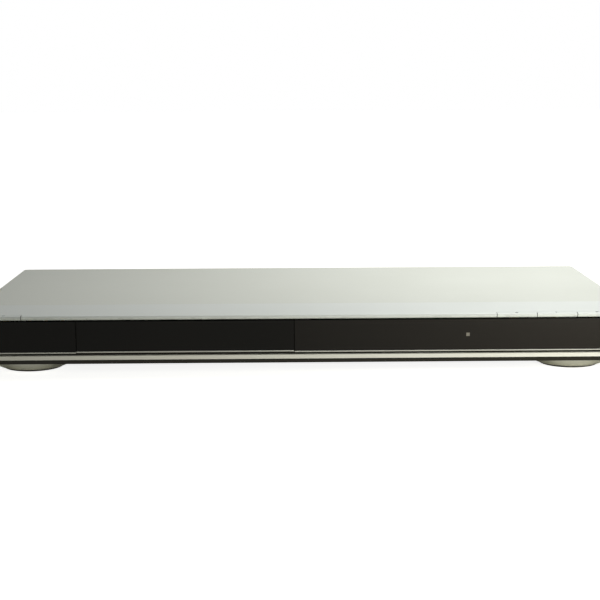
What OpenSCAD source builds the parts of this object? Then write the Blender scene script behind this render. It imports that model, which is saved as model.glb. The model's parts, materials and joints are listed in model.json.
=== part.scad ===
// Slim disc player with a motor-driven tray, modelled as it comes apart on a bench.
// Frame: X to the right seen from the front, Y to the back, Z up, millimetres.
// The origin is on the ground under the middle of the whole player, rear jacks included.

/* [Case] */
// Width of the case and of the front bezel
case_w = 430; // [424:1:470]
// Depth from the front face to the outer face of the rear panel
case_d = 198; // [194:1:230]
// Clear height between the chassis floor and the top cover
inner_h = 32.4; // [32.2:0.1:38]
// Thickness of the steel sheet of the chassis, cover and rear panel
sheet_t = 0.8; // [0.6:0.1:1]
// How far the top cover stands inside the bezel's width on each side
cover_inset = 0.3; // [0.1:0.1:1]
// Gap between the cover's side walls and the chassis flanges, bridged by dimples at the screws
flange_gap = 1.7; // [1.6:0.1:3]
// Height of the chassis side flanges above the floor
flange_h = 14; // [11:1:20]
// Height of the cover's lower edge above the chassis underside
cover_skirt = 1.5; // [0.5:0.5:4]
// Height of the lip folded down over the rear panel
rear_lip_h = 7; // [6:0.5:9]
// Radius of the cover's rear corners
cover_corner_r = 3; // [2:0.5:6]

/* [Front] */
// Depth of the bezel's top shelf, from the front face to the cover's edge
shelf_d = 30; // [27:1:36]
// Drop of the shelf from the cover's edge to the front lip
shelf_drop = 2.5; // [1.5:0.1:3]
// Height of the front lip that holds the buttons
lip_h = 2.8; // [2.8:0.1:3.5]
// Radius of the lip's upper front edge
nose_r = 1; // [0.5:0.1:1.4]
// Wall of the bezel moulding
bezel_t = 2.2; // [1.8:0.1:2.6]
// Gap between the lip and the dark windows below it
window_gap = 0.8; // [0.8:0.1:1]
// How far the dark windows stand behind the front face
window_inset = 0.8; // [0.6:0.1:1.2]
// Thickness of the dark windows and of the tray door
window_t = 2.4; // [2:0.1:2.6]
// Height of the thin silver strips under the windows and the door
trim_h = 0.8; // [0.8:0.1:1.6]
// How far the silver strips stand out in front of the windows
trim_out = 0.3; // [0.1:0.1:0.5]
// Thickness of the black subframe behind the windows
subframe_t = 2; // [1.6:0.1:2.4]
// Height of the silver band along the bottom
band_h = 2.6; // [2:0.1:4]
// Open groove between the band and the silver strips
band_gap = 1.5; // [1:0.1:2]
// Height of the band's lower edge above the chassis underside
band_rise = 2.9; // [2.5:0.1:5]
// Width of the fixed ends of the lip, outside the buttons
lip_end_w = 11.5; // [9:0.5:20]
// Width of each button in the row of three
button_w = 25.6; // [22:0.1:30]
// Width of the power button
power_w = 22.8; // [22:0.1:30]
// Depth of the buttons, from the front face backwards
button_d = 3.2; // [2.8:0.1:4]
// Gap round the buttons
button_gap = 0.4; // [0.3:0.05:0.5]
// Travel of a button
button_travel = 0.5; // [0.2:0.1:0.5]
// Distance of the remote sensor from the nearest button
sensor_d = 18.7; // [12:0.1:24]

/* [Tray] */
// Distance from the left side of the case to the middle of the tray
tray_side = 139.7; // [137:0.1:143]
// Distance from the front face to the spindle axis
hub_d = 71.5; // [71.3:0.1:76]
// Width of the tray door
door_w = 140.1; // [138:0.1:142]
// Gap between the door and the windows on each side
door_gap = 0.5; // [0.4:0.1:0.8]
// How much higher the door and its strip hang than the fixed windows
door_lift = 0.4; // [0:0.1:0.6]
// Travel of the tray
tray_travel = 128; // [100:1:130]
// Length of the tray that stays in its guides when it is fully out
tray_hold = 32; // [28:1:34]
// Radius of the recess for a 12 cm disc
disc_r = 60.75; // [60.5:0.05:61.2]
// Radius of the recess for an 8 cm disc
small_disc_r = 41; // [40.5:0.1:42]
// Depth of the 12 cm recess
recess_h = 2.8; // [2.4:0.1:2.9]
// Step from the 12 cm recess down to the 8 cm recess
small_step = 1.4; // [1:0.1:1.5]
// Wall of the tray moulding
tray_t = 1.6; // [1.3:0.1:1.6]
// Rim beside the 12 cm recess at the tray's sides
tray_rim = 2.25; // [1.8:0.05:3]
// Half width of the slot for the spindle and the pickup
slot_half_w = 18; // [17.6:0.2:20]
// Width of the guide rail on each side of the tray
rail_w = 2.6; // [2:0.1:2.8]
// Height of the guide rail
rail_h = 2.8; // [2:0.1:3]
// Sliding clearance between the tray and its guides
slide_gap = 0.4; // [0.3:0.05:0.5]

/* [Mechanism] */
// Height of the disc plane above the chassis floor
disc_rise = 22.2; // [22:0.1:23]
// Fall of the spindle when the traverse is lowered
spindle_drop = 6.5; // [5:0.1:6.6]
// Travel of the cam slider
cam_travel = 14; // [12:0.5:15]
// Radius of the cam pins at the front of the traverse
cam_pin_r = 1.5; // [1.2:0.1:1.7]
// Play of the cam pins in their slots
cam_gap = 0.35; // [0.3:0.05:0.45]
// Module of the tray's rack and of its gear
rack_module = 1; // [0.9:0.05:1.05]
// Teeth of the gear that drives the tray's rack
rack_teeth = 16; // [14:1:16]
// Module of the reduction gears
gear_module = 0.8; // [0.7:0.05:0.8]
// Teeth of the large loading wheel
wheel_teeth = 42; // [38:1:42]
// Teeth of the pinion under the belt pulley
pinion_teeth = 12; // [12:1:13]
// Module of the pickup's rack and gears
sled_module = 0.6; // [0.5:0.05:0.6]
// Teeth of the sled gear's large wheel
sled_wheel_teeth = 32; // [28:1:34]
// Teeth of the sled gear's pinion
sled_gear_teeth = 16; // [14:1:18]
// Teeth of the sled motor's pinion
sled_pinion_teeth = 10; // [10:1:12]
// Play between meshing teeth
tooth_play = 0.12; // [0.1:0.01:0.16]
// Radius of the belt's run on the large pulley
pulley_r = 10.5; // [9:0.1:10.8]
// Radius of the belt's run on the motor pulley
motor_pulley_r = 3; // [2.6:0.1:4]
// Distance between the two pulley shafts
pulley_pitch = 36.4; // [34:0.1:40]
// Thickness of the drive belt
belt_t = 1.2; // [0.8:0.1:1.2]
// Distance of the lens from the spindle at its inner stop
lens_inner = 24; // [24:0.1:26]
// Travel of the pickup from its inner to its outer stop
pickup_travel = 34; // [30:1:34]
// Travel of the lens up and down from rest
lens_travel = 0.5; // [0.3:0.1:0.6]
// Radius of the guide rods
rod_r = 1.5; // [1.2:0.1:1.6]
// Distance of the guide rods from the middle of the tray
rod_off = 22; // [21.5:0.1:22.5]
// Radius of the turntable
turntable_r = 15; // [14:0.1:15.4]
// Radius of the disc's centre hole, which the hub fills
hub_r = 7.4; // [7.3:0.01:7.45]
// Radius of the spindle and motor shafts
shaft_r = 1; // [0.75:0.05:1]
// Radius of the fixed axles of the gears
axle_r = 1.5; // [1.2:0.05:1.6]
// Radial running clearance of shafts, rods and pins in their bores
run_gap = 0.05; // [0.02:0.01:0.08]

/* [Boards and jacks] */
// Thickness of the circuit boards
board_t = 1.6; // [1.2:0.1:1.8]
// Height of the board posts above the chassis floor
post_h = 5; // [4:0.5:6]
// Width of the main board
main_w = 150; // [146:1:160]
// Depth of the main board
main_d = 84; // [80:1:90]
// Width of the power board
power_board_w = 48; // [46:1:50]
// Depth of the power board
power_board_d = 140; // [130:1:150]
// Length of the jacks behind the rear panel
jack_len = 9; // [8:0.5:10]
// Outer radius of a jack's metal barrel
jack_r = 4.15; // [4:0.05:4.3]
// Centre-to-centre distance of the jacks
jack_pitch = 14; // [13.5:0.5:14.5]
// Height of the jack axes above the main board
jack_rise = 8; // [7:0.5:10]

/* [Feet] */
// Height of the feet below the chassis, pads included
foot_h = 8.5; // [7.5:0.5:12]
// Radius of the front feet at the chassis
front_foot_r = 27; // [24:0.5:30]
// Radius of the front feet at the pad
front_pad_r = 20; // [17:0.5:22]
// Radius of the rear feet at the chassis
rear_foot_r = 15; // [13:0.5:20]
// Radius of the rear feet at the pad
rear_pad_r = 13; // [11:0.5:13]
// Distance of the feet from the case's sides
foot_side_d = 35; // [35:1:50]
// Distance from the front face to the middle of the front feet
front_foot_d = 38; // [36:1:45]
// Distance from the rear panel to the middle of the rear feet
rear_foot_d = 32; // [20:1:40]
// Thickness of the felt pad under each foot
pad_t = 1.2; // [0.8:0.1:2]

/* [Fasteners] */
// Radius of the screws' threads
screw_r = 1.4; // [1.2:0.1:1.5]
// Radius of the screws' heads
screw_head_r = 2.8; // [2.4:0.1:3]
// Height of the screws' heads
screw_head_h = 1.6; // [1.2:0.1:2]
// Radial clearance of a screw in a hole it passes through
screw_gap = 0.3; // [0.2:0.05:0.4]

/* [Hidden] */
$fn = 48;
// Flat clearance between pieces that lie side by side
side_gap = 0.4;
// Cuts run this far past the faces they open
cut = 1;

// Case
case_x = case_w / 2;
front_y = -(case_d + jack_len) / 2;
rear_y = front_y + case_d;
back_y = rear_y - sheet_t;
floor_z = foot_h + sheet_t;
ceil_z = floor_z + inner_h;
top_z = ceil_z + sheet_t;
seam_y = front_y + shelf_d;
cover_x = case_x - cover_inset;
cover_in_x = cover_x - sheet_t;
chassis_x = cover_in_x - flange_gap;
bay_x = chassis_x - sheet_t;

// Front, from the bottom up
band_z0 = foot_h + band_rise;
band_z1 = band_z0 + band_h;
trim_z0 = band_z1 + band_gap;
window_z0 = trim_z0 + trim_h;
lip_z1 = top_z - shelf_drop;
lip_z0 = lip_z1 - lip_h;
window_z1 = lip_z0 - window_gap;
window_y0 = front_y + window_inset;
window_y1 = window_y0 + window_t;
subframe_y1 = window_y1 + subframe_t;
cheek_x = case_x - bezel_t;
window_x = cheek_x - side_gap;
tongue_d = 4;
button_y1 = front_y + button_d;
button_pitch = button_w + button_gap;
button_row_x = case_x - lip_end_w - button_w / 2 - button_pitch;
power_x = power_w / 2 + lip_end_w - case_x;
sensor_x = button_row_x - button_pitch - button_w / 2 - sensor_d;
sensor_z = (window_z0 + window_z1) / 2;

// Buttons and their boards
arm_t = 0.7;
arm_l = 11;
arm_y1 = button_y1 + arm_l;
nub_r = 2;
nub_y = arm_y1 - nub_r - 0.5;
nub_h = 0.8;
press_gap = 0.1;
plunger_z = lip_z0 - nub_h - button_travel - press_gap;
plunger_r = 1.7;
plunger_h = 0.8;
switch_w = 6;
switch_h = 3.5;
key_z1 = plunger_z - plunger_h - switch_h;
key_z0 = key_z1 - board_t;
key_y0 = subframe_y1 + side_gap;
key_y1 = arm_y1 + 8;
boss_r = 2.6;
boss_y = arm_y1 + 4;
power_boss = power_w / 2 - 2.4;
boss_xs = [
    button_row_x - button_pitch / 2,
    button_row_x + button_pitch / 2,
    power_x - power_boss,
    power_x + power_boss
];

// Tray and disc plane
tray_x = tray_side - case_x;
hub_y = front_y + hub_d;
disc_z = floor_z + disc_rise;
rim_z = disc_z - 0.2;
recess_z = rim_z - recess_h;
small_z = recess_z - small_step;
wing_z = recess_z - tray_t;
cup_z = small_z - tray_t;
tray_half_w = disc_r + tray_rim;
rail_x = tray_half_w + rail_w;
rail_z0 = wing_z + 0.6;
rail_z1 = rail_z0 + rail_h;
tray_y1 = window_y1 + tray_travel + tray_hold;
door_x0 = tray_x - door_w / 2;
door_x1 = tray_x + door_w / 2;
tray_flange_t = 2.2;
tray_flange_x = 60;

// Gears: the rack faces the middle of the tray
rack_x = 52;
rack_bar_w = 5;
rack_h = 5.8;
rack_z0 = wing_z - rack_h;
gear_top_z = cup_z - side_gap;
rack_gear_r = rack_module * rack_teeth / 2;
wheel_r = gear_module * wheel_teeth / 2;
pinion_r = gear_module * pinion_teeth / 2;
gear_x = rack_x - rack_gear_r;
gear_y = hub_y - 47.5;
pulley_x = gear_x - wheel_r - pinion_r;
motor_x = pulley_x - pulley_pitch;
deck_z0 = floor_z + 1.5;
deck_z1 = deck_z0 + 2.2;
gear_bottom_z = deck_z1 + side_gap;
wheel_z0 = deck_z1 + 1.5;
wheel_z1 = wheel_z0 + 3;
rack_gear_z0 = rack_z0 - 0.1;
groove_h = belt_t + 0.6;
pulley_z1 = gear_top_z - 1;
pulley_z0 = pulley_z1 - groove_h - 1;
belt_z = (pulley_z0 + pulley_z1) / 2;
belt_gap = 0.2;
flange_out = 0.2;
platform_t = 1.5;
platform_z1 = pulley_z0 - 0.3;
platform_z0 = platform_z1 - platform_t;
motor_r = 10;
motor_z0 = floor_z + 0.6;

// Loader frame
wall_x0 = rail_x + slide_gap;
wall_t = 3;
wall_x1 = wall_x0 + wall_t;
ledge_x = tray_half_w + slide_gap;
ledge_t = 2;
wall_z1 = rail_z1 + slide_gap + ledge_t;
loader_y0 = subframe_y1 + 1.8;
loader_y1 = tray_y1 + 6.3;
lug_w = 8;
lug_t = 3;
lug_ys = [loader_y0 + 12, loader_y1 - 10];
lug_x = wall_x1 + lug_w / 2;
bridge_y0 = hub_y - 14;
bridge_y1 = hub_y + 14;
bridge_t = 1.2;
bridge_leg = 2.7;
bridge_z0 = wall_z1 + bridge_leg;
bridge_z1 = bridge_z0 + bridge_t;
bridge_screw_ys = [bridge_y0 + 5, bridge_y1 - 5];

// Traverse, raised in its rest place
rail_top = floor_z + 14.7;
rail_bottom = rail_top - 3;
plate_z0 = floor_z + 9.7;
plate_z1 = plate_z0 + 2.5;
traverse_x = 40;
opening_x = 28.5;
traverse_y0 = hub_y - 20;
traverse_y1 = hub_y + 87;
cross_y0 = hub_y + 10.5;
cross_y1 = hub_y + 13;
rear_wall_y = hub_y + 74;
hinge_y = hub_y + 83;
hinge_z = floor_z + 12.5;
hinge_r = 2;
ear_x0 = traverse_x + 0.5;
ear_x1 = traverse_x + 6;
cam_pin_x = 20;
cam_pin_z = floor_z + 12.9;
slider_t = 3.6;
slider_y1 = traverse_y0 - 5.6;
slider_y0 = slider_y1 - slider_t;
tilt = asin(spindle_drop / (hinge_y - hub_y));
pin_drop = (hinge_y - (slider_y0 + slider_y1) / 2) * sin(tilt);
slider_x = 34;
slider_guide_x = 29;
slider_z0 = deck_z0 + 0.3;
slider_z1 = gear_top_z - 0.1;
rod_z = floor_z + 13.1;
spindle_motor_r = 12;
spindle_motor_z1 = disc_z - 3.5;
turntable_z0 = disc_z - 2.9;
hub_z1 = disc_z + 2.5;
shaft_z1 = hub_z1 - 0.6;

// Pickup and its drive
lens_y = hub_y + lens_inner;
pickup_y0 = lens_y - 10.3;
pickup_y1 = lens_y + 13;
pickup_x = 16.5;
pickup_z0 = floor_z + 10.4;
pickup_z1 = disc_z - 4.3;
well_r = 5;
lens_r = 4.4;
lens_z0 = pickup_z1 - 2.2;
lens_z1 = pickup_z1 + 1.6;
sled_rack_x = -26.2;
sled_gear_r = sled_module * sled_gear_teeth / 2;
sled_wheel_r = sled_module * sled_wheel_teeth / 2;
sled_pinion_r = sled_module * sled_pinion_teeth / 2;
sled_x = sled_rack_x - sled_gear_r;
sled_y = pickup_y0 + pickup_travel + 3.5;
sled_pitch = sled_wheel_r + sled_pinion_r;
sled_turn = 135;
sled_motor_x = sled_x + sled_pitch * cos(sled_turn);
sled_motor_y = sled_y + sled_pitch * sin(sled_turn);
sled_motor_r = 7;
sled_wheel_z0 = floor_z + 5.5;
sled_wheel_z1 = sled_wheel_z0 + 1.8;
sled_rack_z0 = sled_wheel_z1 + 0.4;
sled_rack_z1 = sled_rack_z0 + 2.4;
lobe_x = sled_motor_x - sled_motor_r - 1.6;

// Clamper above the hub
clamp_z0 = disc_z + 1.4;
clamp_z1 = clamp_z0 + 1.7;
clamp_flange_r = 15;
clamp_neck_r = 11;
clamp_top_r = 15.5;
clamp_top_z0 = bridge_z1 + 1.4;
clamp_top_z1 = clamp_top_z0 + 1.2;
bridge_hole_r = clamp_neck_r + 1.2;

// Boards
board_z0 = floor_z + post_h;
board_z1 = board_z0 + board_t;
main_shift = 2.45;
main_x0 = (tray_x + lug_x + lug_w / 2 + bay_x) / 2 + main_shift - main_w / 2;
main_x1 = main_x0 + main_w;
main_y1 = back_y - 0.5;
main_y0 = main_y1 - main_d;
power_x0 = 3 - bay_x;
power_x1 = power_x0 + power_board_w;
power_y1 = main_y1;
power_y0 = power_y1 - power_board_d;
core_w = 30;
core_l = 26;
core_h = 22;
core_t = 3;
post_r = 3;
post_in = 5;
main_posts = [
    for (x = [main_x0 + post_in, main_x1 - post_in], y = [main_y0 + post_in, main_y1 - 22]) [x, y]
];
power_posts = [
    for (x = [power_x0 + post_in, power_x1 - post_in], y = [power_y0 + post_in, power_y1 - 22]) [x, y]
];
board_posts = concat(main_posts, power_posts);

ribbon_t = 0.4;
ribbon_w = 16;
display_ribbon_x = main_x0 + 51;
flat_socket_w = 22;
socket_top_z = board_z1 + 5;

// Display
tube_t = 6;
display_x0 = tray_x + wall_x1 + 12.3;
tube_x0 = display_x0 + 14;
tube_x1 = sensor_x - 13.2;
tube_z0 = window_z0 + 3;
tube_z1 = window_z1 - 4;
tube_y0 = window_y1 + 0.3;
display_y0 = tube_y0 + tube_t;
display_y1 = display_y0 + board_t;
display_x1 = sensor_x + 10;
display_z0 = floor_z + 2;
display_z1 = window_z1 - 1;
display_posts = [for (x = [display_x0 + 5, display_x1 - 3], z = [display_z0 + 4, display_z1 - 4]) [x, z]];

// Rear jacks, from the middle of the case to the right
jack_z = board_z1 + jack_rise;
jack_x0 = main_x0 + 10;
jack_xs = [for (i = [0, 3, 4, 5, 7, 8, 9]) jack_x0 + i * jack_pitch];
optical_x = jack_x0 + jack_pitch;
svideo_x = jack_x0 + 6 * jack_pitch;
svideo_r = 5.4;
optical_w = 10;
optical_h = 9;
jack_hole_r = jack_r + 0.3;
jack_core_r = jack_r - 0.5;
stem_r = jack_r - 0.35;
stem_y1 = rear_y + 0.5;
jack_block_d = 14;
jack_block_w = 12;
inlet_x = (power_x0 + power_x1) / 2;
inlet_z = board_z1 + 8;
inlet_w = 21;
inlet_h = 14;
inlet_d = 16;
socket_w = 14.4;
socket_h = 8;
socket_d = 12;
inlet_pin_r = 1.2;
inlet_pin_x = 4.3;

// Feet and screws
foot_x = case_x - foot_side_d;
front_foot_y = front_y + front_foot_d;
rear_foot_y = rear_y - rear_foot_d;
foot_screw_z = pad_t + 1.4;
front_feet = [[-foot_x, front_foot_y], [foot_x, front_foot_y]];
rear_feet = [[-foot_x, rear_foot_y], [foot_x, rear_foot_y]];
thread_hole_r = screw_r + run_gap;
pass_hole_r = screw_r + screw_gap;
side_screw_z = floor_z + 8;
side_screw_ys = [seam_y + 45, rear_y - 22];
rear_screw_z = top_z - rear_lip_h / 2;
rear_screw_xs = [-case_x * 0.72, 0, case_x * 0.9];
dish_r = screw_head_r + 0.8;
dish_x = chassis_x + sheet_t;
dimple_r = dish_r + 1.4;

// A box between two corners
module box(low, high) {
    translate(low)
        cube([high[0] - low[0], high[1] - low[1], high[2] - low[2]]);
}

// An outline in Y and Z, drawn out along X
module along_x(x0, x1) {
    translate([x0, 0, 0])
        rotate([90, 0, 90])
            linear_extrude(x1 - x0)
                children();
}

// An upright round bar or bore
module post(x, y, z0, z1, r) {
    translate([x, y, z0])
        cylinder(r = r, h = z1 - z0);
}

// A round bar or bore along Y
module bar_y(x, z, y0, y1, r) {
    translate([x, y1, z])
        rotate([90, 0, 0])
            cylinder(r = r, h = y1 - y0);
}

// A round bar or bore along X
module bar_x(y, z, x0, x1, r) {
    translate([x0, y, z])
        rotate([0, 90, 0])
            cylinder(r = r, h = x1 - x0);
}

// A screw whose head sits on z = 0 and whose thread points down
module screw(length) {
    cylinder(r = screw_head_r, h = screw_head_h);
    translate([0, 0, -length])
        cylinder(r = screw_r, h = length);
}

// A screw in from below: its head hangs under z = 0
module screw_up(length) {
    mirror([0, 0, 1])
        screw(length);
}

// Involute teeth with a pressure angle of 25 degrees
pressure = 25;
addendum = 0.8;
dedendum = 1.05;
function polar(r, a) = [r * cos(a), r * sin(a)];
function involute(base, r) = r <= base ? 0 : tan(acos(base / r)) - acos(base / r) * PI / 180;
function half_tooth(m, z, r) =
    let (base = m * z / 2 * cos(pressure))
    ((PI * m / 2 - tooth_play) / (m * z) + involute(base, m * z / 2) - involute(base, r)) * 180 / PI;
function tooth_radii(m, z) =
    let (root = m * z / 2 - dedendum * m, base = m * z / 2 * cos(pressure), tip = m * z / 2 + addendum * m)
    [root, max(root + 0.05 * m, base), m * z / 2, tip];

// The outline of a gear with one tooth pointing along +X
module gear_outline(m, z) {
    radii = tooth_radii(m, z);
    polygon([
        for (i = [0 : z - 1], k = [0 : 7])
            let (r = radii[k < 4 ? k : 7 - k], side = k < 4 ? -1 : 1)
            polar(r, i * 360 / z + side * half_tooth(m, z, r))
    ]);
}

// Upright gear with a shaft bore
module gear(m, z, z0, z1, bore) {
    translate([0, 0, z0])
        linear_extrude(z1 - z0)
            difference() {
                gear_outline(m, z);
                circle(r = bore);
            }
}

// Outline of a rack along Y: teeth point to -X from the pitch line, a gap lies at y = 0
module rack_outline(m, y0, y1, bar_w) {
    pitch = PI * m;
    root = pitch / 4 - tooth_play / 2 + tan(pressure) * dedendum * m;
    tip = pitch / 4 - tooth_play / 2 - tan(pressure) * addendum * m;
    first = ceil((y0 + root) / pitch - 0.5);
    last = floor((y1 - root) / pitch - 0.5);
    polygon([
        [dedendum * m + bar_w, y0],
        [dedendum * m, y0],
        for (i = [first : last], k = [0 : 3])
            let (centre = (i + 0.5) * pitch)
            k == 0 ? [dedendum * m, centre - root] :
            k == 1 ? [-addendum * m, centre - tip] :
            k == 2 ? [-addendum * m, centre + tip] :
            [dedendum * m, centre + root],
        [dedendum * m, y1],
        [dedendum * m + bar_w, y1]
    ]);
}

// Height of the bezel's sloping shelf at a depth y
function shelf_z(y) = lip_z1 + (y - front_y - nose_r) * shelf_drop / (shelf_d - nose_r);

// Rounded upper front edge of the lip, as points from the front face to the top
function nose_points() = [
    for (a = [180 : -15 : 90]) [front_y + nose_r, lip_z1 - nose_r] + polar(nose_r, a)
];

// ---------------------------------------------------------------- case

// Folded steel tray: floor, side flanges, vent slots and board posts
module bottom_chassis() {
    color("gainsboro")
        difference() {
            union() {
                box([-chassis_x, subframe_y1, foot_h], [chassis_x, back_y, floor_z]);
                for (s = [-1, 1])
                    mirror([s < 0 ? 1 : 0, 0, 0])
                        box([bay_x, subframe_y1, foot_h], [chassis_x, back_y, floor_z + flange_h]);
                for (p = board_posts)
                    post(p[0], p[1], foot_h, board_z0, post_r);
            }
            for (p = board_posts)
                post(p[0], p[1], foot_h - cut, board_z0 + cut, thread_hole_r);
            for (y = side_screw_ys)
                bar_x(y, side_screw_z, -case_x, case_x, thread_hole_r);
            for (p = concat(front_feet, rear_feet))
                post(p[0], p[1], foot_h - cut, floor_z + cut, thread_hole_r);
            for (x = [tray_x - lug_x, tray_x + lug_x], y = lug_ys)
                post(x, y, foot_h - cut, floor_z + cut, thread_hole_r);
            for (i = [0 : 9])
                box([main_x0 + 20 + i * 11, main_y0 + 20, foot_h - cut],
                    [main_x0 + 23 + i * 11, main_y0 + 55, floor_z + cut]);
            for (i = [0 : 5])
                box([power_x0 + 14, power_y0 + 30 + i * 11, foot_h - cut],
                    [power_x1 - 14, power_y0 + 33 + i * 11, floor_z + cut]);
        }
}

// Steel sheet folded into a lid with two side walls and a lip over the rear panel
module top_cover() {
    lid_y1 = rear_y + sheet_t;
    color("silver")
        difference() {
            union() {
                box([-cover_x, seam_y, ceil_z], [cover_x, lid_y1 - cover_corner_r, top_z]);
                box([-cover_x + cover_corner_r, seam_y, ceil_z], [cover_x - cover_corner_r, lid_y1, top_z]);
                for (s = [-1, 1])
                    post(s * (cover_x - cover_corner_r), lid_y1 - cover_corner_r, ceil_z, top_z,
                        cover_corner_r);
                for (s = [-1, 1])
                    mirror([s < 0 ? 1 : 0, 0, 0]) {
                        box([cover_in_x, seam_y, foot_h + cover_skirt],
                            [cover_x, lid_y1 - cover_corner_r, top_z]);
                        for (y = side_screw_ys)
                            bar_x(y, side_screw_z, chassis_x, cover_x, dimple_r);
                    }
                box([-cover_x + cover_corner_r, rear_y, top_z - rear_lip_h],
                    [cover_x - cover_corner_r, lid_y1, top_z]);
            }
            for (y = side_screw_ys) {
                bar_x(y, side_screw_z, -case_x - cut, case_x + cut, pass_hole_r);
                for (s = [-1, 1])
                    mirror([s < 0 ? 1 : 0, 0, 0])
                        bar_x(y, side_screw_z, dish_x, cover_x + cut, dish_r);
            }
            for (x = rear_screw_xs)
                bar_y(x, rear_screw_z, rear_y - cut, lid_y1 + cut, pass_hole_r);
        }
}

// Steel rear wall with its openings, folded forward over the chassis floor
module rear_panel() {
    foot_d = 8;
    color("silver")
        difference() {
            union() {
                box([-bay_x, back_y, floor_z], [bay_x, rear_y, ceil_z]);
                box([tray_x + wall_x1 + lug_w + 2, back_y - foot_d, floor_z],
                    [main_x0, rear_y, floor_z + sheet_t]);
            }
            for (x = jack_xs)
                bar_y(x, jack_z, back_y - cut, rear_y + cut, jack_hole_r);
            bar_y(svideo_x, jack_z, back_y - cut, rear_y + cut, svideo_r + 0.3);
            box([optical_x - optical_w / 2 - 0.3, back_y - cut, jack_z - optical_h / 2 - 0.3],
                [optical_x + optical_w / 2 + 0.3, rear_y + cut, jack_z + optical_h / 2 + 0.3]);
            box([inlet_x - inlet_w / 2 - 0.3, back_y - cut, inlet_z - inlet_h / 2 - 0.3],
                [inlet_x + inlet_w / 2 + 0.3, rear_y + cut, inlet_z + inlet_h / 2 + 0.3]);
            for (x = rear_screw_xs)
                bar_y(x, rear_screw_z, back_y - cut, rear_y + cut, thread_hole_r);
        }
}

// Moulded frame of the front: sloping shelf, lip, two cheeks and the silver band
module front_bezel() {
    shelf_in_z = top_z - bezel_t;
    color("lightgray")
        difference() {
            union() {
                along_x(-case_x, case_x)
                    polygon(concat([[front_y, lip_z0]], nose_points(), [
                        [seam_y, top_z],
                        [seam_y, ceil_z],
                        [seam_y + tongue_d, ceil_z],
                        [seam_y + tongue_d, shelf_in_z],
                        [seam_y, shelf_in_z],
                        [front_y + bezel_t, lip_z1 - bezel_t],
                        [front_y + bezel_t, lip_z0]
                    ]));
                for (s = [-1, 1])
                    mirror([s < 0 ? 1 : 0, 0, 0])
                        along_x(cheek_x, case_x)
                            polygon([
                                [front_y, foot_h],
                                [front_y, lip_z0 + nose_r],
                                [seam_y, shelf_in_z + nose_r],
                                [seam_y, foot_h]
                            ]);
                box([-case_x, front_y, band_z0], [case_x, window_y1, band_z1]);
                for (x = [button_row_x - button_pitch / 2, button_row_x + button_pitch / 2,
                        power_x - power_boss, power_x + power_boss])
                    post(x, boss_y, key_z1, shelf_z(boss_y) - bezel_t / 2, boss_r);
            }
            for (s = [-1, 1])
                mirror([s < 0 ? 1 : 0, 0, 0])
                    box([cover_in_x - side_gap, seam_y, foot_h],
                        [case_x + cut, seam_y + tongue_d + cut, top_z]);
            button_notch(button_row_x, 3 * button_w + 2 * button_gap);
            button_notch(power_x, power_w);
            for (x = boss_xs)
                post(x, boss_y, key_z1 - cut, key_z1 + 5, thread_hole_r);
        }
}

// Notch in the lip for a button or a row of buttons
module button_notch(x, w) {
    box([x - w / 2 - button_gap, front_y - cut, lip_z0 - cut],
        [x + w / 2 + button_gap, button_y1 + button_gap, top_z]);
}

// Black moulding behind the windows, open for the tray, the display and the sensor
module front_subframe() {
    open_x = rail_x + 1.2;
    color("black")
        difference() {
            union() {
                box([-window_x, window_y1, foot_h], [window_x, subframe_y1, window_z1 - side_gap]);
                box([-window_x, front_y + 1.2, foot_h], [window_x, window_y1, band_z0]);
                for (p = display_posts)
                    bar_y(p[0], p[1], window_y1 + 1, display_y0, 2.4);
            }
            box([tray_x - open_x, window_y1 - cut, rack_z0 - 1],
                [tray_x + open_x, subframe_y1 + cut, window_z1]);
            box([tube_x0 - 0.5, window_y1 - cut, tube_z0 - 0.5],
                [tube_x1 + 0.5, subframe_y1 + cut, tube_z1 + 0.5]);
            box([sensor_x - 4, window_y1 - cut, sensor_z - 4],
                [sensor_x + 4, subframe_y1 + cut, sensor_z + 4]);
            for (p = display_posts)
                bar_y(p[0], p[1], window_y1 + 1.5, display_y0 + cut, thread_hole_r);
        }
}

// Dark glossy panel left of the tray door
module side_window() {
    color("black")
        box([-window_x, window_y0, window_z0], [door_x0 - door_gap, window_y1, window_z1]);
}

// Dark glossy display window right of the tray door
module display_window() {
    color("black")
        box([door_x1 + door_gap, window_y0, window_z0], [window_x, window_y1, window_z1]);
}

// Thin silver strips under the two fixed windows
module window_trim() {
    color("silver") {
        box([-window_x, window_y0 - trim_out, trim_z0], [door_x0 - door_gap, window_y1, window_z0]);
        box([door_x1 + door_gap, window_y0 - trim_out, trim_z0], [window_x, window_y1, window_z0]);
    }
}

// Dark glossy door on the front of the tray
module tray_door() {
    color("black")
        box([door_x0, window_y0, window_z0 + door_lift], [door_x1, window_y1, window_z1]);
}

// Thin silver strip under the door
module door_trim() {
    color("silver")
        box([door_x0, window_y0 - trim_out, trim_z0 + door_lift],
            [door_x1, window_y1, window_z0 + door_lift]);
}

// A button: a piece of the lip with an arm that reaches back over its switch
module lip_button(x, w, arm_w) {
    color("lightgray") {
        along_x(x - w / 2, x + w / 2)
            polygon(concat([[front_y, lip_z0]], nose_points(), [
                [button_y1, shelf_z(button_y1)],
                [button_y1, lip_z0]
            ]));
        box([x - arm_w / 2, button_y1 - 1, lip_z0], [x + arm_w / 2, arm_y1, lip_z0 + arm_t]);
        post(x, nub_y, lip_z0 - nub_h, lip_z0 + arm_t, nub_r);
    }
}

module power_button() {
    lip_button(power_x, power_w, 10);
}

module open_button() {
    lip_button(button_row_x - button_pitch, button_w, 12);
}

// The play button carries a raised dot for the finger
module play_button() {
    lip_button(button_row_x, button_w, 12);
    color("lightgray")
        post(button_row_x, front_y + 1.8, lip_z1 - 0.5, lip_z1 + 0.3, 0.6);
}

module stop_button() {
    lip_button(button_row_x + button_pitch, button_w, 12);
}

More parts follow.
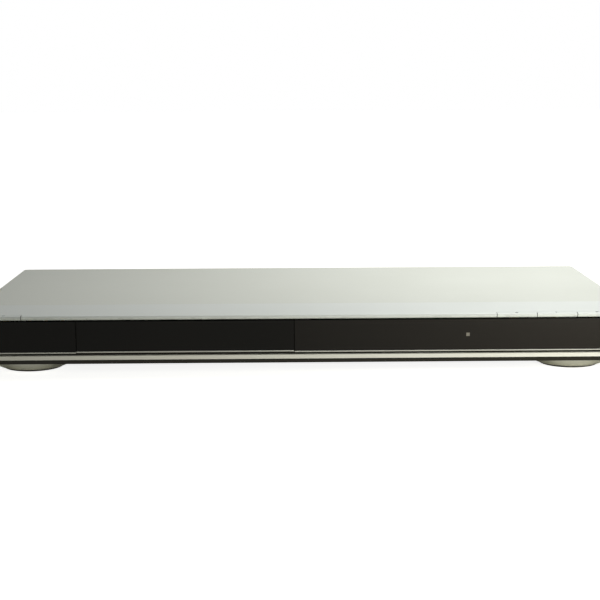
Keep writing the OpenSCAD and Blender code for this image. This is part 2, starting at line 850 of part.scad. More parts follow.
// Two narrow boards under the shelf that carry the key switches
module key_boards() {
    color("darkgreen")
        difference() {
            union() {
                box([power_x - power_w / 2, key_y0, key_z0], [power_x + power_w / 2, key_y1, key_z1]);
                box([button_row_x - 1.5 * button_pitch, key_y0, key_z0],
                    [button_row_x + 1.5 * button_pitch, key_y1, key_z1]);
            }
            for (x = boss_xs)
                post(x, boss_y, key_z0 - cut, key_z1 + cut, pass_hole_r);
        }
}

// Four push switches, one under each button's nub
module key_switches() {
    for (x = [power_x, button_row_x - button_pitch, button_row_x, button_row_x + button_pitch]) {
        color("dimgray")
            box([x - switch_w / 2, nub_y - switch_w / 2, key_z1],
                [x + switch_w / 2, nub_y + switch_w / 2, key_z1 + switch_h]);
        color("gold")
            post(x, nub_y, key_z1 + switch_h, plunger_z, plunger_r);
    }
}

// Upright board behind the display window
module display_board() {
    color("darkgreen")
        difference() {
            box([display_x0, display_y0, display_z0], [display_x1, display_y1, display_z1]);
            for (p = display_posts)
                bar_y(p[0], p[1], display_y0 - cut, display_y1 + cut, pass_hole_r);
        }
}

// Glass display tube on the front of its board
module display_tube() {
    color("darkslategray")
        difference() {
            box([tube_x0, tube_y0, tube_z0], [tube_x1, display_y0, tube_z1]);
            box([tube_x0 - cut, tube_y0 + 2, tube_z0 - cut], [tube_x0 + 2, tube_y0 + 4, tube_z1 + cut]);
        }
    color("silver")
        bar_x(display_y0 - 3, (tube_z0 + tube_z1) / 2, tube_x1, tube_x1 + 3, 1.2);
}

// Receiver of the remote control with its lens bump
module remote_sensor() {
    color("black") {
        box([sensor_x - 3.2, display_y0 - 3.6, sensor_z - 3.4],
            [sensor_x + 3.2, display_y0, sensor_z + 3.4]);
        translate([sensor_x, display_y0 - 3.6, sensor_z])
            sphere(r = 2);
    }
}

// ---------------------------------------------------------------- feet and screws

// A silver foot: a bowl that narrows to its pad, with a sunk screw hole
module foot(x, y, r_top, r_pad) {
    seat_z = foot_screw_z + screw_head_h;
    translate([x, y, 0])
        rotate_extrude()
            polygon(concat([[pass_hole_r, foot_h], [r_top, foot_h], [r_top, foot_h - 1]],
                [for (a = [75 : -15 : 0]) [
                    r_pad + (r_top - r_pad) * sin(a),
                    pad_t + (foot_h - 1 - pad_t) * (1 - cos(a))
                ]],
                [[screw_head_r + 0.6, pad_t], [screw_head_r + 0.6, seat_z], [pass_hole_r, seat_z]]));
}

module front_feet() {
    color("silver")
        for (p = front_feet)
            foot(p[0], p[1], front_foot_r, front_pad_r);
}

module rear_feet() {
    color("silver")
        for (p = rear_feet)
            foot(p[0], p[1], rear_foot_r, rear_pad_r);
}

// Felt rings glued under the feet
module foot_pads() {
    module pad(p, r) {
        translate([p[0], p[1], 0])
            difference() {
                cylinder(r = r - 0.6, h = pad_t);
                translate([0, 0, -cut])
                    cylinder(r = screw_head_r + 1.4, h = pad_t + 2 * cut);
            }
    }
    color("dimgray") {
        for (p = front_feet)
            pad(p, front_pad_r);
        for (p = rear_feet)
            pad(p, rear_pad_r);
    }
}

// Screws of the cover, the rear lip and the feet
module case_screws() {
    foot_seat_z = foot_screw_z + screw_head_h;
    color("silver") {
        for (y = side_screw_ys, s = [-1, 1])
            translate([s * dish_x, y, side_screw_z])
                rotate([0, s * 90, 0])
                    screw(dish_x - bay_x + 2);
        for (x = rear_screw_xs)
            translate([x, rear_y + sheet_t, rear_screw_z])
                rotate([-90, 0, 0])
                    screw(2 * sheet_t + 3);
        for (p = concat(front_feet, rear_feet))
            translate([p[0], p[1], foot_seat_z])
                screw_up(floor_z - foot_seat_z + 2);
    }
}

// Screws of the boards, the loader, its bridge and the front boards
module inner_screws() {
    color("goldenrod") {
        for (p = board_posts)
            translate([p[0], p[1], board_z1])
                screw(post_h + board_t);
        for (x = [tray_x - lug_x, tray_x + lug_x], y = lug_ys)
            translate([x, y, floor_z + lug_t])
                screw(lug_t + sheet_t);
        for (x = [tray_x - wall_x0 - wall_t / 2, tray_x + wall_x0 + wall_t / 2], y = bridge_screw_ys)
            translate([x, y, bridge_z1])
                screw(bridge_t + bridge_leg + 4);
        for (x = boss_xs)
            translate([x, boss_y, key_z0])
                screw_up(board_t + 4);
        for (p = display_posts)
            translate([p[0], display_y1, p[1]])
                rotate([-90, 0, 0])
                    screw(board_t + 4);
    }
}

// ---------------------------------------------------------------- loader, placed about the spindle's X

// Moulded base of the loader: side walls with guide ledges, deck, motor platform and hinge ears
module loader_frame() {
    color("dimgray")
        translate([tray_x, 0, 0])
            difference() {
                union() {
                    for (s = [-1, 1])
                        mirror([s < 0 ? 1 : 0, 0, 0])
                            loader_side();
                    box([-wall_x0, loader_y0, deck_z0], [wall_x0, loader_y1, deck_z1]);
                    box([-wall_x0, loader_y1 - 3, floor_z], [wall_x0, loader_y1, cup_z - side_gap]);
                    box([-slider_x - cam_travel - 4, slider_y0 - 3, floor_z],
                        [slider_x + cam_travel + 4, slider_y1 + 2.5, deck_z0]);
                    motor_platform();
                }
                box([-slider_x - 1, slider_y0 - side_gap, deck_z0],
                    [slider_x + cam_travel + 1, slider_y1 + side_gap, deck_z1 + cut]);
                box([lobe_x - 2, slider_y0 - side_gap, deck_z0],
                    [ear_x0 - 0.1, hinge_y - 4.4, deck_z1 + cut]);
                box([-ear_x0, hinge_y - 5, deck_z0 - cut], [ear_x0, traverse_y1 + 2, deck_z1 + cut]);
                box([lobe_x - 2, traverse_y0 - 4, floor_z - cut], [ear_x0 - 0.1, hinge_y - 4.4, deck_z1]);
                box([wall_x0 - cut, main_y0 - 20.5, floor_z - cut],
                    [wall_x1 + cut, main_y0 - 19.5 + ribbon_w, floor_z + 1.2]);
                post(motor_x, gear_y, floor_z, platform_z0, motor_r + side_gap);
                post(motor_x, gear_y, platform_z0 - cut, platform_z1 + cut, 3.4);
            }
    color("dimgray")
        translate([tray_x, 0, 0]) {
            for (s = [-1, 1])
                box([s * slider_guide_x - 2, slider_y1 + side_gap, floor_z],
                    [s * slider_guide_x + 2, slider_y1 + 2.4, slider_z1 - 2]);
            for (s = [-1, 1])
                mirror([s < 0 ? 1 : 0, 0, 0])
                    hinge_ear();
            post(gear_x, gear_y, deck_z0, gear_top_z, axle_r);
            post(pulley_x, gear_y, deck_z0, gear_top_z, axle_r);
        }
}

// One side wall of the loader with the two ledges that hold the tray's rail
module loader_side() {
    difference() {
        union() {
            box([wall_x0, loader_y0, floor_z], [wall_x1, loader_y1, wall_z1 - ledge_t]);
            box([ledge_x, loader_y0, rail_z0 - slide_gap - ledge_t],
                [wall_x1, loader_y1, rail_z0 - slide_gap]);
            box([ledge_x, loader_y0, wall_z1 - ledge_t], [wall_x1, loader_y1, wall_z1]);
        }
        for (y = bridge_screw_ys)
            post(wall_x0 + wall_t / 2, y, wall_z1 - 6, wall_z1 + cut, thread_hole_r);
    }
    for (y = lug_ys)
        difference() {
            box([wall_x1 - 0.5, y - lug_w / 2, floor_z], [wall_x1 + lug_w, y + lug_w / 2, floor_z + lug_t]);
            post(lug_x, y, floor_z - cut, floor_z + lug_t + cut, pass_hole_r);
        }
}

// Table that the loading motor hangs under
module motor_platform() {
    half = motor_r + 3;
    box([motor_x - half, gear_y - half + 1, platform_z0],
        [motor_x + half, gear_y + half - 1, platform_z1]);
    for (sx = [-1, 1], sy = [-1, 1])
        box([motor_x + sx * (half - 1.5) - 1.5, gear_y + sy * (half - 2.5) - 1.5, deck_z0],
            [motor_x + sx * (half - 1.5) + 1.5, gear_y + sy * (half - 2.5) + 1.5, platform_z1]);
}

// Ear with the bore for a hinge pin of the traverse
module hinge_ear() {
    difference() {
        box([ear_x0, hinge_y - 4, deck_z0], [ear_x1, hinge_y + 4, hinge_z + 3.2]);
        bar_x(hinge_y, hinge_z, ear_x0 - cut, ear_x1 + cut, hinge_r + run_gap);
    }
}

// Tray with its two disc recesses, the slot to the rear, side rails and the rack underneath
module disc_tray() {
    color([0.12, 0.12, 0.12])
        translate([tray_x, 0, 0]) {
            difference() {
                union() {
                    box([-tray_half_w, window_y1 + 1, wing_z], [tray_half_w, tray_y1, rim_z]);
                    box([-rail_x, subframe_y1 + 1, rail_z0], [rail_x, tray_y1, rail_z1]);
                    post(0, hub_y, cup_z, wing_z + 0.5, small_disc_r + tray_t);
                    box([-tray_flange_x, window_y1, rack_z0],
                        [tray_flange_x, window_y1 + tray_flange_t, rim_z]);
                }
                post(0, hub_y, recess_z, rim_z + cut, disc_r);
                post(0, hub_y, small_z, rim_z + cut, small_disc_r);
                post(0, hub_y, cup_z - cut, rim_z + cut, slot_half_w);
                box([-slot_half_w, hub_y, cup_z - cut], [slot_half_w, tray_y1 + cut, rim_z + cut]);
            }
            translate([rack_x, gear_y, rack_z0])
                linear_extrude(rack_h + 0.5)
                    rack_outline(rack_module, window_y1 + 4 - gear_y, tray_y1 - 0.5 - gear_y, rack_bar_w);
        }
}

// Motor can under its platform, with the shaft that carries the small pulley
module loading_motor() {
    translate([tray_x + motor_x, gear_y, 0]) {
        color("silver")
            post(0, 0, motor_z0, platform_z0, motor_r);
        color("silver")
            post(0, 0, platform_z0, platform_z1 - 0.2, 3);
        color("gray")
            post(0, 0, platform_z0, gear_top_z, shaft_r);
    }
}

// A belt pulley with a flat-bottomed groove
module belt_pulley(r, bore) {
    groove_r = r - belt_t / 2 - belt_gap;
    difference() {
        union() {
            post(0, 0, pulley_z0, pulley_z1, groove_r);
            post(0, 0, pulley_z0, belt_z - groove_h / 2, r + belt_t / 2 + flange_out);
            post(0, 0, belt_z + groove_h / 2, pulley_z1, r + belt_t / 2 + flange_out);
        }
        post(0, 0, pulley_z0 - cut, pulley_z1 + cut, bore);
    }
}

module motor_pulley() {
    color("white")
        translate([tray_x + motor_x, gear_y, 0])
            belt_pulley(motor_pulley_r, shaft_r + run_gap);
}

// Square rubber belt round both pulleys, its straight runs tangent to them
module drive_belt() {
    lean = asin((pulley_r - motor_pulley_r) / pulley_pitch);
    steps = 24;
    module loop(extra) {
        polygon([
            for (i = [0 : steps])
                polar(motor_pulley_r + extra, 90 + lean + i * (180 - 2 * lean) / steps),
            for (i = [0 : steps])
                [pulley_pitch, 0] + polar(pulley_r + extra, -90 - lean + i * (180 + 2 * lean) / steps)
        ]);
    }
    color([0.1, 0.1, 0.1])
        translate([tray_x + motor_x, gear_y, belt_z - belt_t / 2])
            linear_extrude(belt_t)
                difference() {
                    loop(belt_t / 2);
                    loop(-belt_t / 2);
                }
}

// Belt pulley with the pinion that drives the loading wheel
module pulley_gear() {
    half_step = wheel_teeth % 2 == 0 ? 180 / pinion_teeth : 0;
    color("ivory")
        translate([tray_x + pulley_x, gear_y, 0]) {
            rotate(half_step)
                gear(gear_module, pinion_teeth, gear_bottom_z, wheel_z1 + 0.6, axle_r + run_gap);
            difference() {
                post(0, 0, wheel_z1 + 0.6, pulley_z0, axle_r + 2);
                post(0, 0, wheel_z1 - cut, pulley_z1 + cut, axle_r + run_gap);
            }
            belt_pulley(pulley_r, axle_r + run_gap);
        }
}

// Large wheel and, above it, the gear that drives the tray's rack
module loading_gear() {
    color("ivory")
        translate([tray_x + gear_x, gear_y, 0]) {
            gear(gear_module, wheel_teeth, wheel_z0, wheel_z1, axle_r + run_gap);
            gear(rack_module, rack_teeth, rack_gear_z0, gear_top_z, axle_r + run_gap);
            difference() {
                union() {
                    post(0, 0, gear_bottom_z, wheel_z0, axle_r + 2.5);
                    post(0, 0, wheel_z1, rack_gear_z0, axle_r + 4);
                }
                post(0, 0, gear_bottom_z - cut, rack_gear_z0 + cut, axle_r + run_gap);
            }
        }
}

// Slider whose two sloping slots carry the traverse's cam pins
module cam_slider() {
    slot_r = cam_pin_r + cam_gap;
    module slot_outline() {
        lean = atan(pin_drop / cam_travel);
        translate([0, cam_pin_z])
            circle(r = slot_r);
        translate([-cam_travel, cam_pin_z - pin_drop])
            circle(r = slot_r);
        polygon([
            [-slot_r * sin(lean), cam_pin_z + slot_r * cos(lean)],
            [slot_r * sin(lean), cam_pin_z - slot_r * cos(lean)],
            [slot_r * sin(lean) - cam_travel, cam_pin_z - pin_drop - slot_r * cos(lean)],
            [-slot_r * sin(lean) - cam_travel, cam_pin_z - pin_drop + slot_r * cos(lean)]
        ]);
    }
    color("white")
        translate([tray_x, slider_y1, 0])
            rotate([90, 0, 0])
                linear_extrude(slider_t)
                    difference() {
                        translate([-slider_x, slider_z0])
                            square([2 * slider_x, slider_z1 - slider_z0]);
                        for (s = [-1, 1])
                            translate([s * cam_pin_x, 0])
                                slot_outline();
                    }
}

// Tilting frame that carries the spindle, the rods and the pickup's drive
module traverse_frame() {
    color([0.25, 0.25, 0.27])
        translate([tray_x, 0, 0])
            difference() {
                union() {
                    box([-traverse_x, traverse_y0, plate_z0], [traverse_x, cross_y1, plate_z1]);
                    box([-traverse_x, traverse_y0, plate_z0], [traverse_x, traverse_y0 + 3, cam_pin_z + 2.6]);
                    for (s = [-1, 1])
                        box([s < 0 ? -traverse_x : opening_x, traverse_y0, rail_bottom],
                            [s < 0 ? -opening_x : traverse_x, traverse_y1, rail_top]);
                    box([-traverse_x, cross_y0, plate_z0], [traverse_x, cross_y1, rod_z + rod_r + 0.8]);
                    box([-traverse_x, rear_wall_y, rod_z - rod_r - 0.7],
                        [traverse_x, traverse_y1, rod_z + rod_r + 0.6]);
                    box([lobe_x, sled_motor_y - sled_motor_r - 2, rail_bottom],
                        [-opening_x, sled_motor_y + sled_motor_r + 2, rail_top]);
                    for (s = [-1, 1]) {
                        bar_y(s * cam_pin_x, cam_pin_z, slider_y0 - 0.4, traverse_y0 + 1, cam_pin_r);
                        bar_x(hinge_y, hinge_z, s < 0 ? -ear_x1 : traverse_x - 1,
                            s < 0 ? 1 - traverse_x : ear_x1, hinge_r);
                    }
                    post(sled_x, sled_y, sled_wheel_z0 - 0.6, rail_bottom + 1, shaft_r);
                    post(sled_x, sled_y, sled_rack_z1 + 0.4, rail_bottom + 1, shaft_r + 1.5);
                }
                post(0, hub_y, plate_z1, rail_top + 2, spindle_motor_r + 0.4);
                for (s = [-1, 1])
                    bar_y(s * rod_off, rod_z, cross_y0, rear_wall_y + 3, rod_r + run_gap);
                post(sled_motor_x, sled_motor_y, rail_bottom - cut, rail_top + cut, sled_motor_r + run_gap);
            }
}

// Flat spindle motor on the traverse's plate, with its shaft
module spindle_motor() {
    translate([tray_x, hub_y, 0]) {
        color("silver")
            post(0, 0, plate_z1, spindle_motor_z1 - 0.6, spindle_motor_r);
        color("silver")
            post(0, 0, spindle_motor_z1 - 0.6, spindle_motor_z1, spindle_motor_r - 6);
        color("gray")
            post(0, 0, spindle_motor_z1 - 1, shaft_z1, shaft_r);
    }
}

// Turntable with a tapered hub that centres the disc
module turntable() {
    color([0.15, 0.15, 0.15])
        translate([tray_x, hub_y, 0])
            rotate_extrude()
                polygon([
                    [shaft_r + run_gap, turntable_z0],
                    [turntable_r, turntable_z0],
                    [turntable_r, disc_z],
                    [hub_r, disc_z],
                    [hub_r, disc_z + 1.1],
                    [hub_r - 2.4, hub_z1],
                    [shaft_r + run_gap, hub_z1]
                ]);
}

// Two ground rods that the pickup slides on
module guide_rods() {
    color("silver")
        for (s = [-1, 1])
            bar_y(tray_x + s * rod_off, rod_z, cross_y0, rear_wall_y + 3, rod_r);
}

// Pickup sled: body, two rod bearings, a fork, the lens well and the drive rack
module pickup_sled() {
    bearing_x0 = -rod_off - rod_r - 1.6;
    bearing_z0 = rod_z - rod_r - 1.4;
    bearing_z1 = rod_z + rod_r + 1;
    fork_w = rod_r + 0.35;
    color([0.2, 0.2, 0.22])
        translate([tray_x, 0, 0])
            difference() {
                union() {
                    box([-pickup_x, pickup_y0, pickup_z0], [pickup_x, pickup_y1, pickup_z1 - 1.2]);
                    post(0, lens_y, pickup_z0, pickup_z1, well_r + 3.5);
                    box([bearing_x0, pickup_y0, bearing_z0], [-pickup_x + 1, pickup_y1, bearing_z1]);
                    box([pickup_x - 1, lens_y - 4, bearing_z0], [rod_off + 2.4, lens_y + 4, bearing_z1]);
                    box([sled_rack_x + sled_module * dedendum, pickup_y0, sled_rack_z0],
                        [-pickup_x, pickup_y1, sled_rack_z1]);
                    box([bearing_x0 + 2, pickup_y0, sled_rack_z0],
                        [-pickup_x + 1, pickup_y1, bearing_z0 + 1]);
                }
                bar_y(-rod_off, rod_z, pickup_y0 - cut, pickup_y1 + cut, rod_r + run_gap);
                box([rod_off - fork_w, lens_y - 5, rod_z - fork_w],
                    [rod_off + 4, lens_y + 5, rod_z + fork_w]);
                post(0, lens_y, lens_z0 - lens_travel - 0.5, pickup_z1 + cut, well_r);
            }
    color([0.2, 0.2, 0.22])
        translate([tray_x + sled_rack_x, sled_y, sled_rack_z0])
            linear_extrude(sled_rack_z1 - sled_rack_z0)
                rack_outline(sled_module, pickup_y0 - sled_y, 4, 2);
}

// Lens in its round holder, floating in the well
module objective_lens() {
    color([0.3, 0.3, 0.35])
        translate([tray_x, lens_y, 0])
            difference() {
                post(0, 0, lens_z0, lens_z1, lens_r);
                post(0, 0, lens_z1 - 0.5, lens_z1 + cut, lens_r - 1.4);
            }
    color("skyblue")
        translate([tray_x, lens_y, lens_z1 - 4.5])
            intersection() {
                sphere(r = 4.6);
                translate([-3, -3, 3.9])
                    cube([6, 6, 1]);
            }
}

// Sled motor can, pressed into the traverse's lobe with its shaft pointing down
module sled_motor() {
    translate([tray_x + sled_motor_x, sled_motor_y, 0]) {
        color("silver")
            post(0, 0, sled_wheel_z1 + 1, rail_top + 0.5, sled_motor_r);
        color("gray")
            post(0, 0, sled_wheel_z0 - 0.6, sled_wheel_z1 + 1.5, shaft_r);
    }
}

// Pinion on the sled motor's shaft, turned so that it meshes with the wheel
module sled_pinion() {
    back = 180 + sled_turn;
    wheel_step = 360 / sled_wheel_teeth;
    wheel_phase = (sled_turn - 180) / wheel_step;
    off = (wheel_phase - round(wheel_phase)) * wheel_step * sled_wheel_teeth / sled_pinion_teeth;
    color("white")
        translate([tray_x + sled_motor_x, sled_motor_y, 0])
            rotate(back + off + 180 / sled_pinion_teeth)
                gear(sled_module, sled_pinion_teeth, sled_wheel_z0 - 0.2, sled_wheel_z1 + 0.4,
                    shaft_r + run_gap);
}

// Double gear between the sled motor and the pickup's rack
module sled_gear() {
    color("white")
        translate([tray_x + sled_x, sled_y, 0]) {
            gear(sled_module, sled_gear_teeth, sled_wheel_z1 - 0.01, sled_rack_z1, shaft_r + run_gap);
            rotate(180)
                gear(sled_module, sled_wheel_teeth, sled_wheel_z0, sled_wheel_z1, shaft_r + run_gap);
        }
}

// Spool-shaped clamper that hangs in the bridge over the hub
module clamper() {
    color("whitesmoke")
        translate([tray_x, hub_y, 0])
            rotate_extrude()
                polygon([
                    [0, clamp_z1 - 0.4],
                    [hub_r + 0.5, clamp_z1 - 0.4],
                    [hub_r + 0.9, clamp_z0],
                    [clamp_flange_r, clamp_z0],
                    [clamp_flange_r, clamp_z1],
                    [clamp_neck_r, clamp_z1],
                    [clamp_neck_r, clamp_top_z0],
                    [clamp_top_r, clamp_top_z0],
                    [clamp_top_r, clamp_top_z1],
                    [0, clamp_top_z1]
                ]);
}

// Steel bridge over the tray with the clamper's hole
module clamp_bridge() {
    color("silver")
        translate([tray_x, 0, 0])
            difference() {
                union() {
                    box([-wall_x1, bridge_y0, bridge_z0], [wall_x1, bridge_y1, bridge_z1]);
                    for (s = [-1, 1])
                        mirror([s < 0 ? 1 : 0, 0, 0])
                            box([wall_x0, bridge_y0, wall_z1], [wall_x1, bridge_y1, bridge_z0]);
                    post(0, hub_y, bridge_z0, bridge_z1, clamp_top_r + 3);
                }
                post(0, hub_y, bridge_z0 - cut, bridge_z1 + cut, bridge_hole_r);
                for (s = [-1, 1], y = bridge_screw_ys)
                    post(s * (wall_x0 + wall_t / 2), y, wall_z1 - cut, bridge_z1 + cut, screw_r + run_gap);
            }
}

// ---------------------------------------------------------------- boards

module board(x0, x1, y0, y1, posts) {
    color("darkgreen")
        difference() {
            box([x0, y0, board_z0], [x1, y1, board_z1]);
            for (p = posts)
                post(p[0], p[1], board_z0 - cut, board_z1 + cut, pass_hole_r);
        }
}

module main_board() {
    board(main_x0, main_x1, main_y0, main_y1, main_posts);
}

module power_board() {
    board(power_x0, power_x1, power_y0, power_y1, power_posts);
}

// A flat chip on the main board, placed from the board's front left corner
module chip(x, y, w, d, h) {
    box([main_x0 + x, main_y0 + y, board_z1], [main_x0 + x + w, main_y0 + y + d, board_z1 + h]);
}

// Decoder, memories, motor driver and sound chips
module main_chips() {
    color([0.1, 0.1, 0.1]) {
        chip(56, 22, 24, 24, 1.6);
        chip(88, 18, 10, 22, 1.2);
        chip(104, 18, 10, 22, 1.2);
        chip(66, 4, 18, 12, 1.2);
        chip(22, 20, 14, 20, 2.2);
        chip(120, 36, 8, 10, 1.5);
        chip(96, 48, 8, 8, 1.2);
    }
}

// Sockets for the ribbon cables and the harness
module board_sockets() {
    color("ivory") {
        chip(14, 2, 24, 5, 5);
        chip(51 - flat_socket_w / 2, 2, flat_socket_w, 5, 5);
        chip(12, 56, 6, 14, 7);
        box([power_x1 - 8, power_y1 - 50, board_z1], [power_x1 - 2, power_y1 - 32, board_z1 + 7]);
        box([display_ribbon_x - flat_socket_w / 2, display_y1, socket_top_z - 2.5],
            [display_ribbon_x + flat_socket_w / 2, display_y1 + 5, socket_top_z + 2.5]);
    }
}

// Small electrolytic capacitors in a row behind the jacks, and a few near the sockets
module main_capacitors() {
    color([0.15, 0.2, 0.35]) {
        for (i = [0 : 7])
            post(main_x0 + 22 + i * 14, main_y1 - jack_block_d - 6, board_z1, board_z1 + 9, 3);
        for (i = [0 : 2])
            post(main_x0 + 12 + i * 9, main_y0 + 48, board_z1, board_z1 + 11, 3.5);
    }
}

// Laminated core with its winding
module transformer() {
    x0 = power_x0 + 9;
    y0 = power_y0 + 46;
    x1 = x0 + core_w;
    y1 = y0 + core_l;
    z1 = board_z1 + core_h;
    color("goldenrod")
        box([x0 + core_t, y0, board_z1 + 2], [x1 - core_t, y1, z1 - 2]);
    color("dimgray") {
        box([x0, y0 + 5, board_z1], [x0 + core_t, y1 - 5, z1]);
        box([x1 - core_t, y0 + 5, board_z1], [x1, y1 - 5, z1]);
        box([x0, y0 + 5, z1 - 2], [x1, y1 - 5, z1]);
    }
}

// Mains reservoir capacitor and the smaller ones after the transformer
module power_capacitors() {
    color([0.1, 0.1, 0.15]) {
        post(power_x0 + 14, power_y1 - 50, board_z1, board_z1 + 22, 8);
        for (i = [0 : 2])
            post(power_x0 + 12 + i * 11.5, power_y0 + 28, board_z1, board_z1 + 16, 4.5);
    }
}

// Aluminium plate with fins along the board
module heat_sink() {
    x = power_x1 - 7;
    y0 = power_y1 - 96;
    color("silver") {
        box([x, y0, board_z1], [x + 2, y0 + 26, board_z1 + 20]);
        for (i = [0 : 4])
            box([x + 2, y0 + i * 6, board_z1 + 3], [x + 6, y0 + 1.6 + i * 6, board_z1 + 20]);
    }
}

// Glass mains fuse in two clips
module mains_fuse() {
    x = power_x0 + 30;
    y0 = power_y1 - 52;
    z = board_z1 + 5;
    color("silver")
        for (y = [y0, y0 + 15])
            difference() {
                box([x - 3.4, y, board_z1], [x + 3.4, y + 5, z + 1]);
                bar_y(x, z, y - cut, y + 6, 2.6);
            }
    color("lightcyan")
        bar_y(x, z, y0, y0 + 20, 2.6);
}

// ---------------------------------------------------------------- rear jacks

// Moulded blocks on the main board that hold the jack barrels
module jack_blocks() {
    color("black")
        for (x = jack_xs)
            difference() {
                box([x - jack_block_w / 2, back_y - jack_block_d, board_z1],
                    [x + jack_block_w / 2, back_y, jack_z + jack_block_w / 2]);
                bar_y(x, jack_z, back_y - 6, back_y + cut, stem_r);
            }
}

// Metal barrels of the phono jacks, each on a narrower stem in its block
module jack_barrels() {
    color("silver")
        for (x = jack_xs)
            difference() {
                union() {
                    bar_y(x, jack_z, back_y - 6, stem_y1 + 0.1, stem_r);
                    bar_y(x, jack_z, stem_y1, rear_y + jack_len, jack_r);
                }
                bar_y(x, jack_z, stem_y1 + 0.8, rear_y + jack_len + cut, jack_core_r);
            }
}

// Plastic cores of the jacks, each with the hole for the plug's pin
module jack_inserts() {
    colours = ["orange", "green", "blue", "red", "yellow", "white", "red"];
    for (i = [0 : len(jack_xs) - 1])
        color(colours[i])
            difference() {
                bar_y(jack_xs[i], jack_z, stem_y1 + 0.8, rear_y + jack_len - 0.5, jack_core_r);
                bar_y(jack_xs[i], jack_z, stem_y1 + 1.8, rear_y + jack_len + cut, 1.65);
            }
}

// Round four-pin picture socket
module svideo_socket() {
    color([0.1, 0.1, 0.1])
        difference() {
            union() {
                box([svideo_x - jack_block_w / 2, back_y - jack_block_d, board_z1],
                    [svideo_x + jack_block_w / 2, back_y, jack_z + jack_block_w / 2]);
                bar_y(svideo_x, jack_z, back_y - cut, rear_y + 1.5, svideo_r);
            }
            for (sx = [-1, 1])
                for (h = [[1.7, 1.6], [2.5, -1.4]])
                    bar_y(svideo_x + sx * h[0], jack_z + h[1], rear_y - 5, rear_y + 3, 0.55);
            box([svideo_x - 1.6, rear_y - 5, jack_z - 3.9], [svideo_x + 1.6, rear_y + 3, jack_z - 2.8]);
        }
}

// Square optical socket with its shutter
module optical_socket() {
    color([0.12, 0.12, 0.12])
        difference() {
            union() {
                box([optical_x - optical_w / 2, back_y - jack_block_d, jack_z - optical_h / 2],
                    [optical_x + optical_w / 2, rear_y + 1, jack_z + optical_h / 2]);
                box([optical_x - 4, back_y - jack_block_d, board_z1], [optical_x + 4, back_y - 2, jack_z]);
            }
            box([optical_x - 3, rear_y - 1, jack_z - 2.8], [optical_x + 3, rear_y + 1 + cut, jack_z + 2.8]);
        }
}

// Two-pole mains inlet, its socket open to the rear
module mains_inlet() {
    round_r = socket_h / 2;
    half = socket_w / 2 - round_r;
    color([0.1, 0.1, 0.1])
        difference() {
            union() {
                box([inlet_x - inlet_w / 2, rear_y - inlet_d, inlet_z - inlet_h / 2],
                    [inlet_x + inlet_w / 2, rear_y, inlet_z + inlet_h / 2]);
                box([inlet_x - inlet_w / 2 - 2, rear_y, inlet_z - inlet_h / 2 - 1.5],
                    [inlet_x + inlet_w / 2 + 2, rear_y + 1.8, inlet_z + inlet_h / 2 + 1.5]);
                box([inlet_x - 6, rear_y - inlet_d, board_z1], [inlet_x + 6, back_y - 2, inlet_z]);
            }
            for (s = [-1, 1])
                bar_y(inlet_x + s * half, inlet_z, rear_y - socket_d, rear_y + 1.8 + cut, round_r);
            box([inlet_x - half, rear_y - socket_d, inlet_z - round_r],
                [inlet_x + half, rear_y + 1.8 + cut, inlet_z + round_r]);
        }
}

// Round-ended contact pins of the mains inlet
module inlet_pins() {
    color("silver")
        for (s = [-1, 1]) {
            bar_y(inlet_x + s * inlet_pin_x, inlet_z, rear_y - socket_d, rear_y - 1.2, inlet_pin_r);
            translate([inlet_x + s * inlet_pin_x, rear_y - 1.2, inlet_z])
                sphere(r = inlet_pin_r);
        }
}

// ---------------------------------------------------------------- cables

// A flat ribbon of width w about x, drawn between corners given as [y, z]
module ribbon(x, w, points) {
    for (i = [0 : len(points) - 2]) {
        a = points[i];
        b = points[i + 1];
        box([x - w / 2, min(a[0], b[0]), min(a[1], b[1])],
            [x + w / 2, max(a[0], b[0]) + ribbon_t, max(a[1], b[1]) + ribbon_t]);
    }
}

// Ribbons from the loader and the display board, and the wires from the power board
module cables() {
    wire_r = 2;
    wire_z = board_z1 + 10;
    wire_y = loader_y1 + 6;
    wire_x0 = power_x1 - 5;
    wire_x1 = main_x0 + 15;
    socket_y = main_y0 + 2;
    fold_y = main_y0 - 20;
    color("whitesmoke") {
        ribbon(display_ribbon_x, flat_socket_w - 4, [[socket_y + 2, socket_top_z],
            [display_y1 + 5, socket_top_z]]);
        ribbon(main_x0 + 26, ribbon_w, [[socket_y + 2, socket_top_z], [main_y0 - 2, socket_top_z],
            [main_y0 - 2, floor_z], [fold_y, floor_z]]);
        box([tray_x + 24, fold_y, floor_z], [main_x0 + 26, fold_y + ribbon_w, floor_z + ribbon_t]);
    }
    color("firebrick") {
        bar_x(wire_y, wire_z, wire_x0, wire_x1, wire_r);
        for (x = [wire_x0, wire_x1]) {
            translate([x, wire_y, wire_z])
                sphere(r = wire_r);
            post(x, wire_y, board_z1 + 7, wire_z, wire_r);
        }
    }
}

bottom_chassis();
top_cover();
rear_panel();
front_bezel();
front_subframe();
side_window();
display_window();
window_trim();
tray_door();
door_trim();
power_button();
open_button();
play_button();
stop_button();
key_boards();
key_switches();
display_board();
display_tube();
remote_sensor();
front_feet();
rear_feet();
foot_pads();
case_screws();
inner_screws();
loader_frame();
disc_tray();
loading_motor();
motor_pulley();
drive_belt();
pulley_gear();
loading_gear();
cam_slider();
traverse_frame();
spindle_motor();
turntable();
guide_rods();
pickup_sled();
objective_lens();
sled_motor();
sled_pinion();
sled_gear();
clamper();
clamp_bridge();
main_board();
main_chips();
board_sockets();
main_capacitors();
power_board();
transformer();
power_capacitors();
heat_sink();
mains_fuse();
jack_blocks();
jack_barrels();
jack_inserts();
svideo_socket();
optical_socket();
mains_inlet();
inlet_pins();
cables();
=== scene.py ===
import json
from math import cos, radians, sin

import bmesh
import bpy
from mathutils import Matrix, Vector

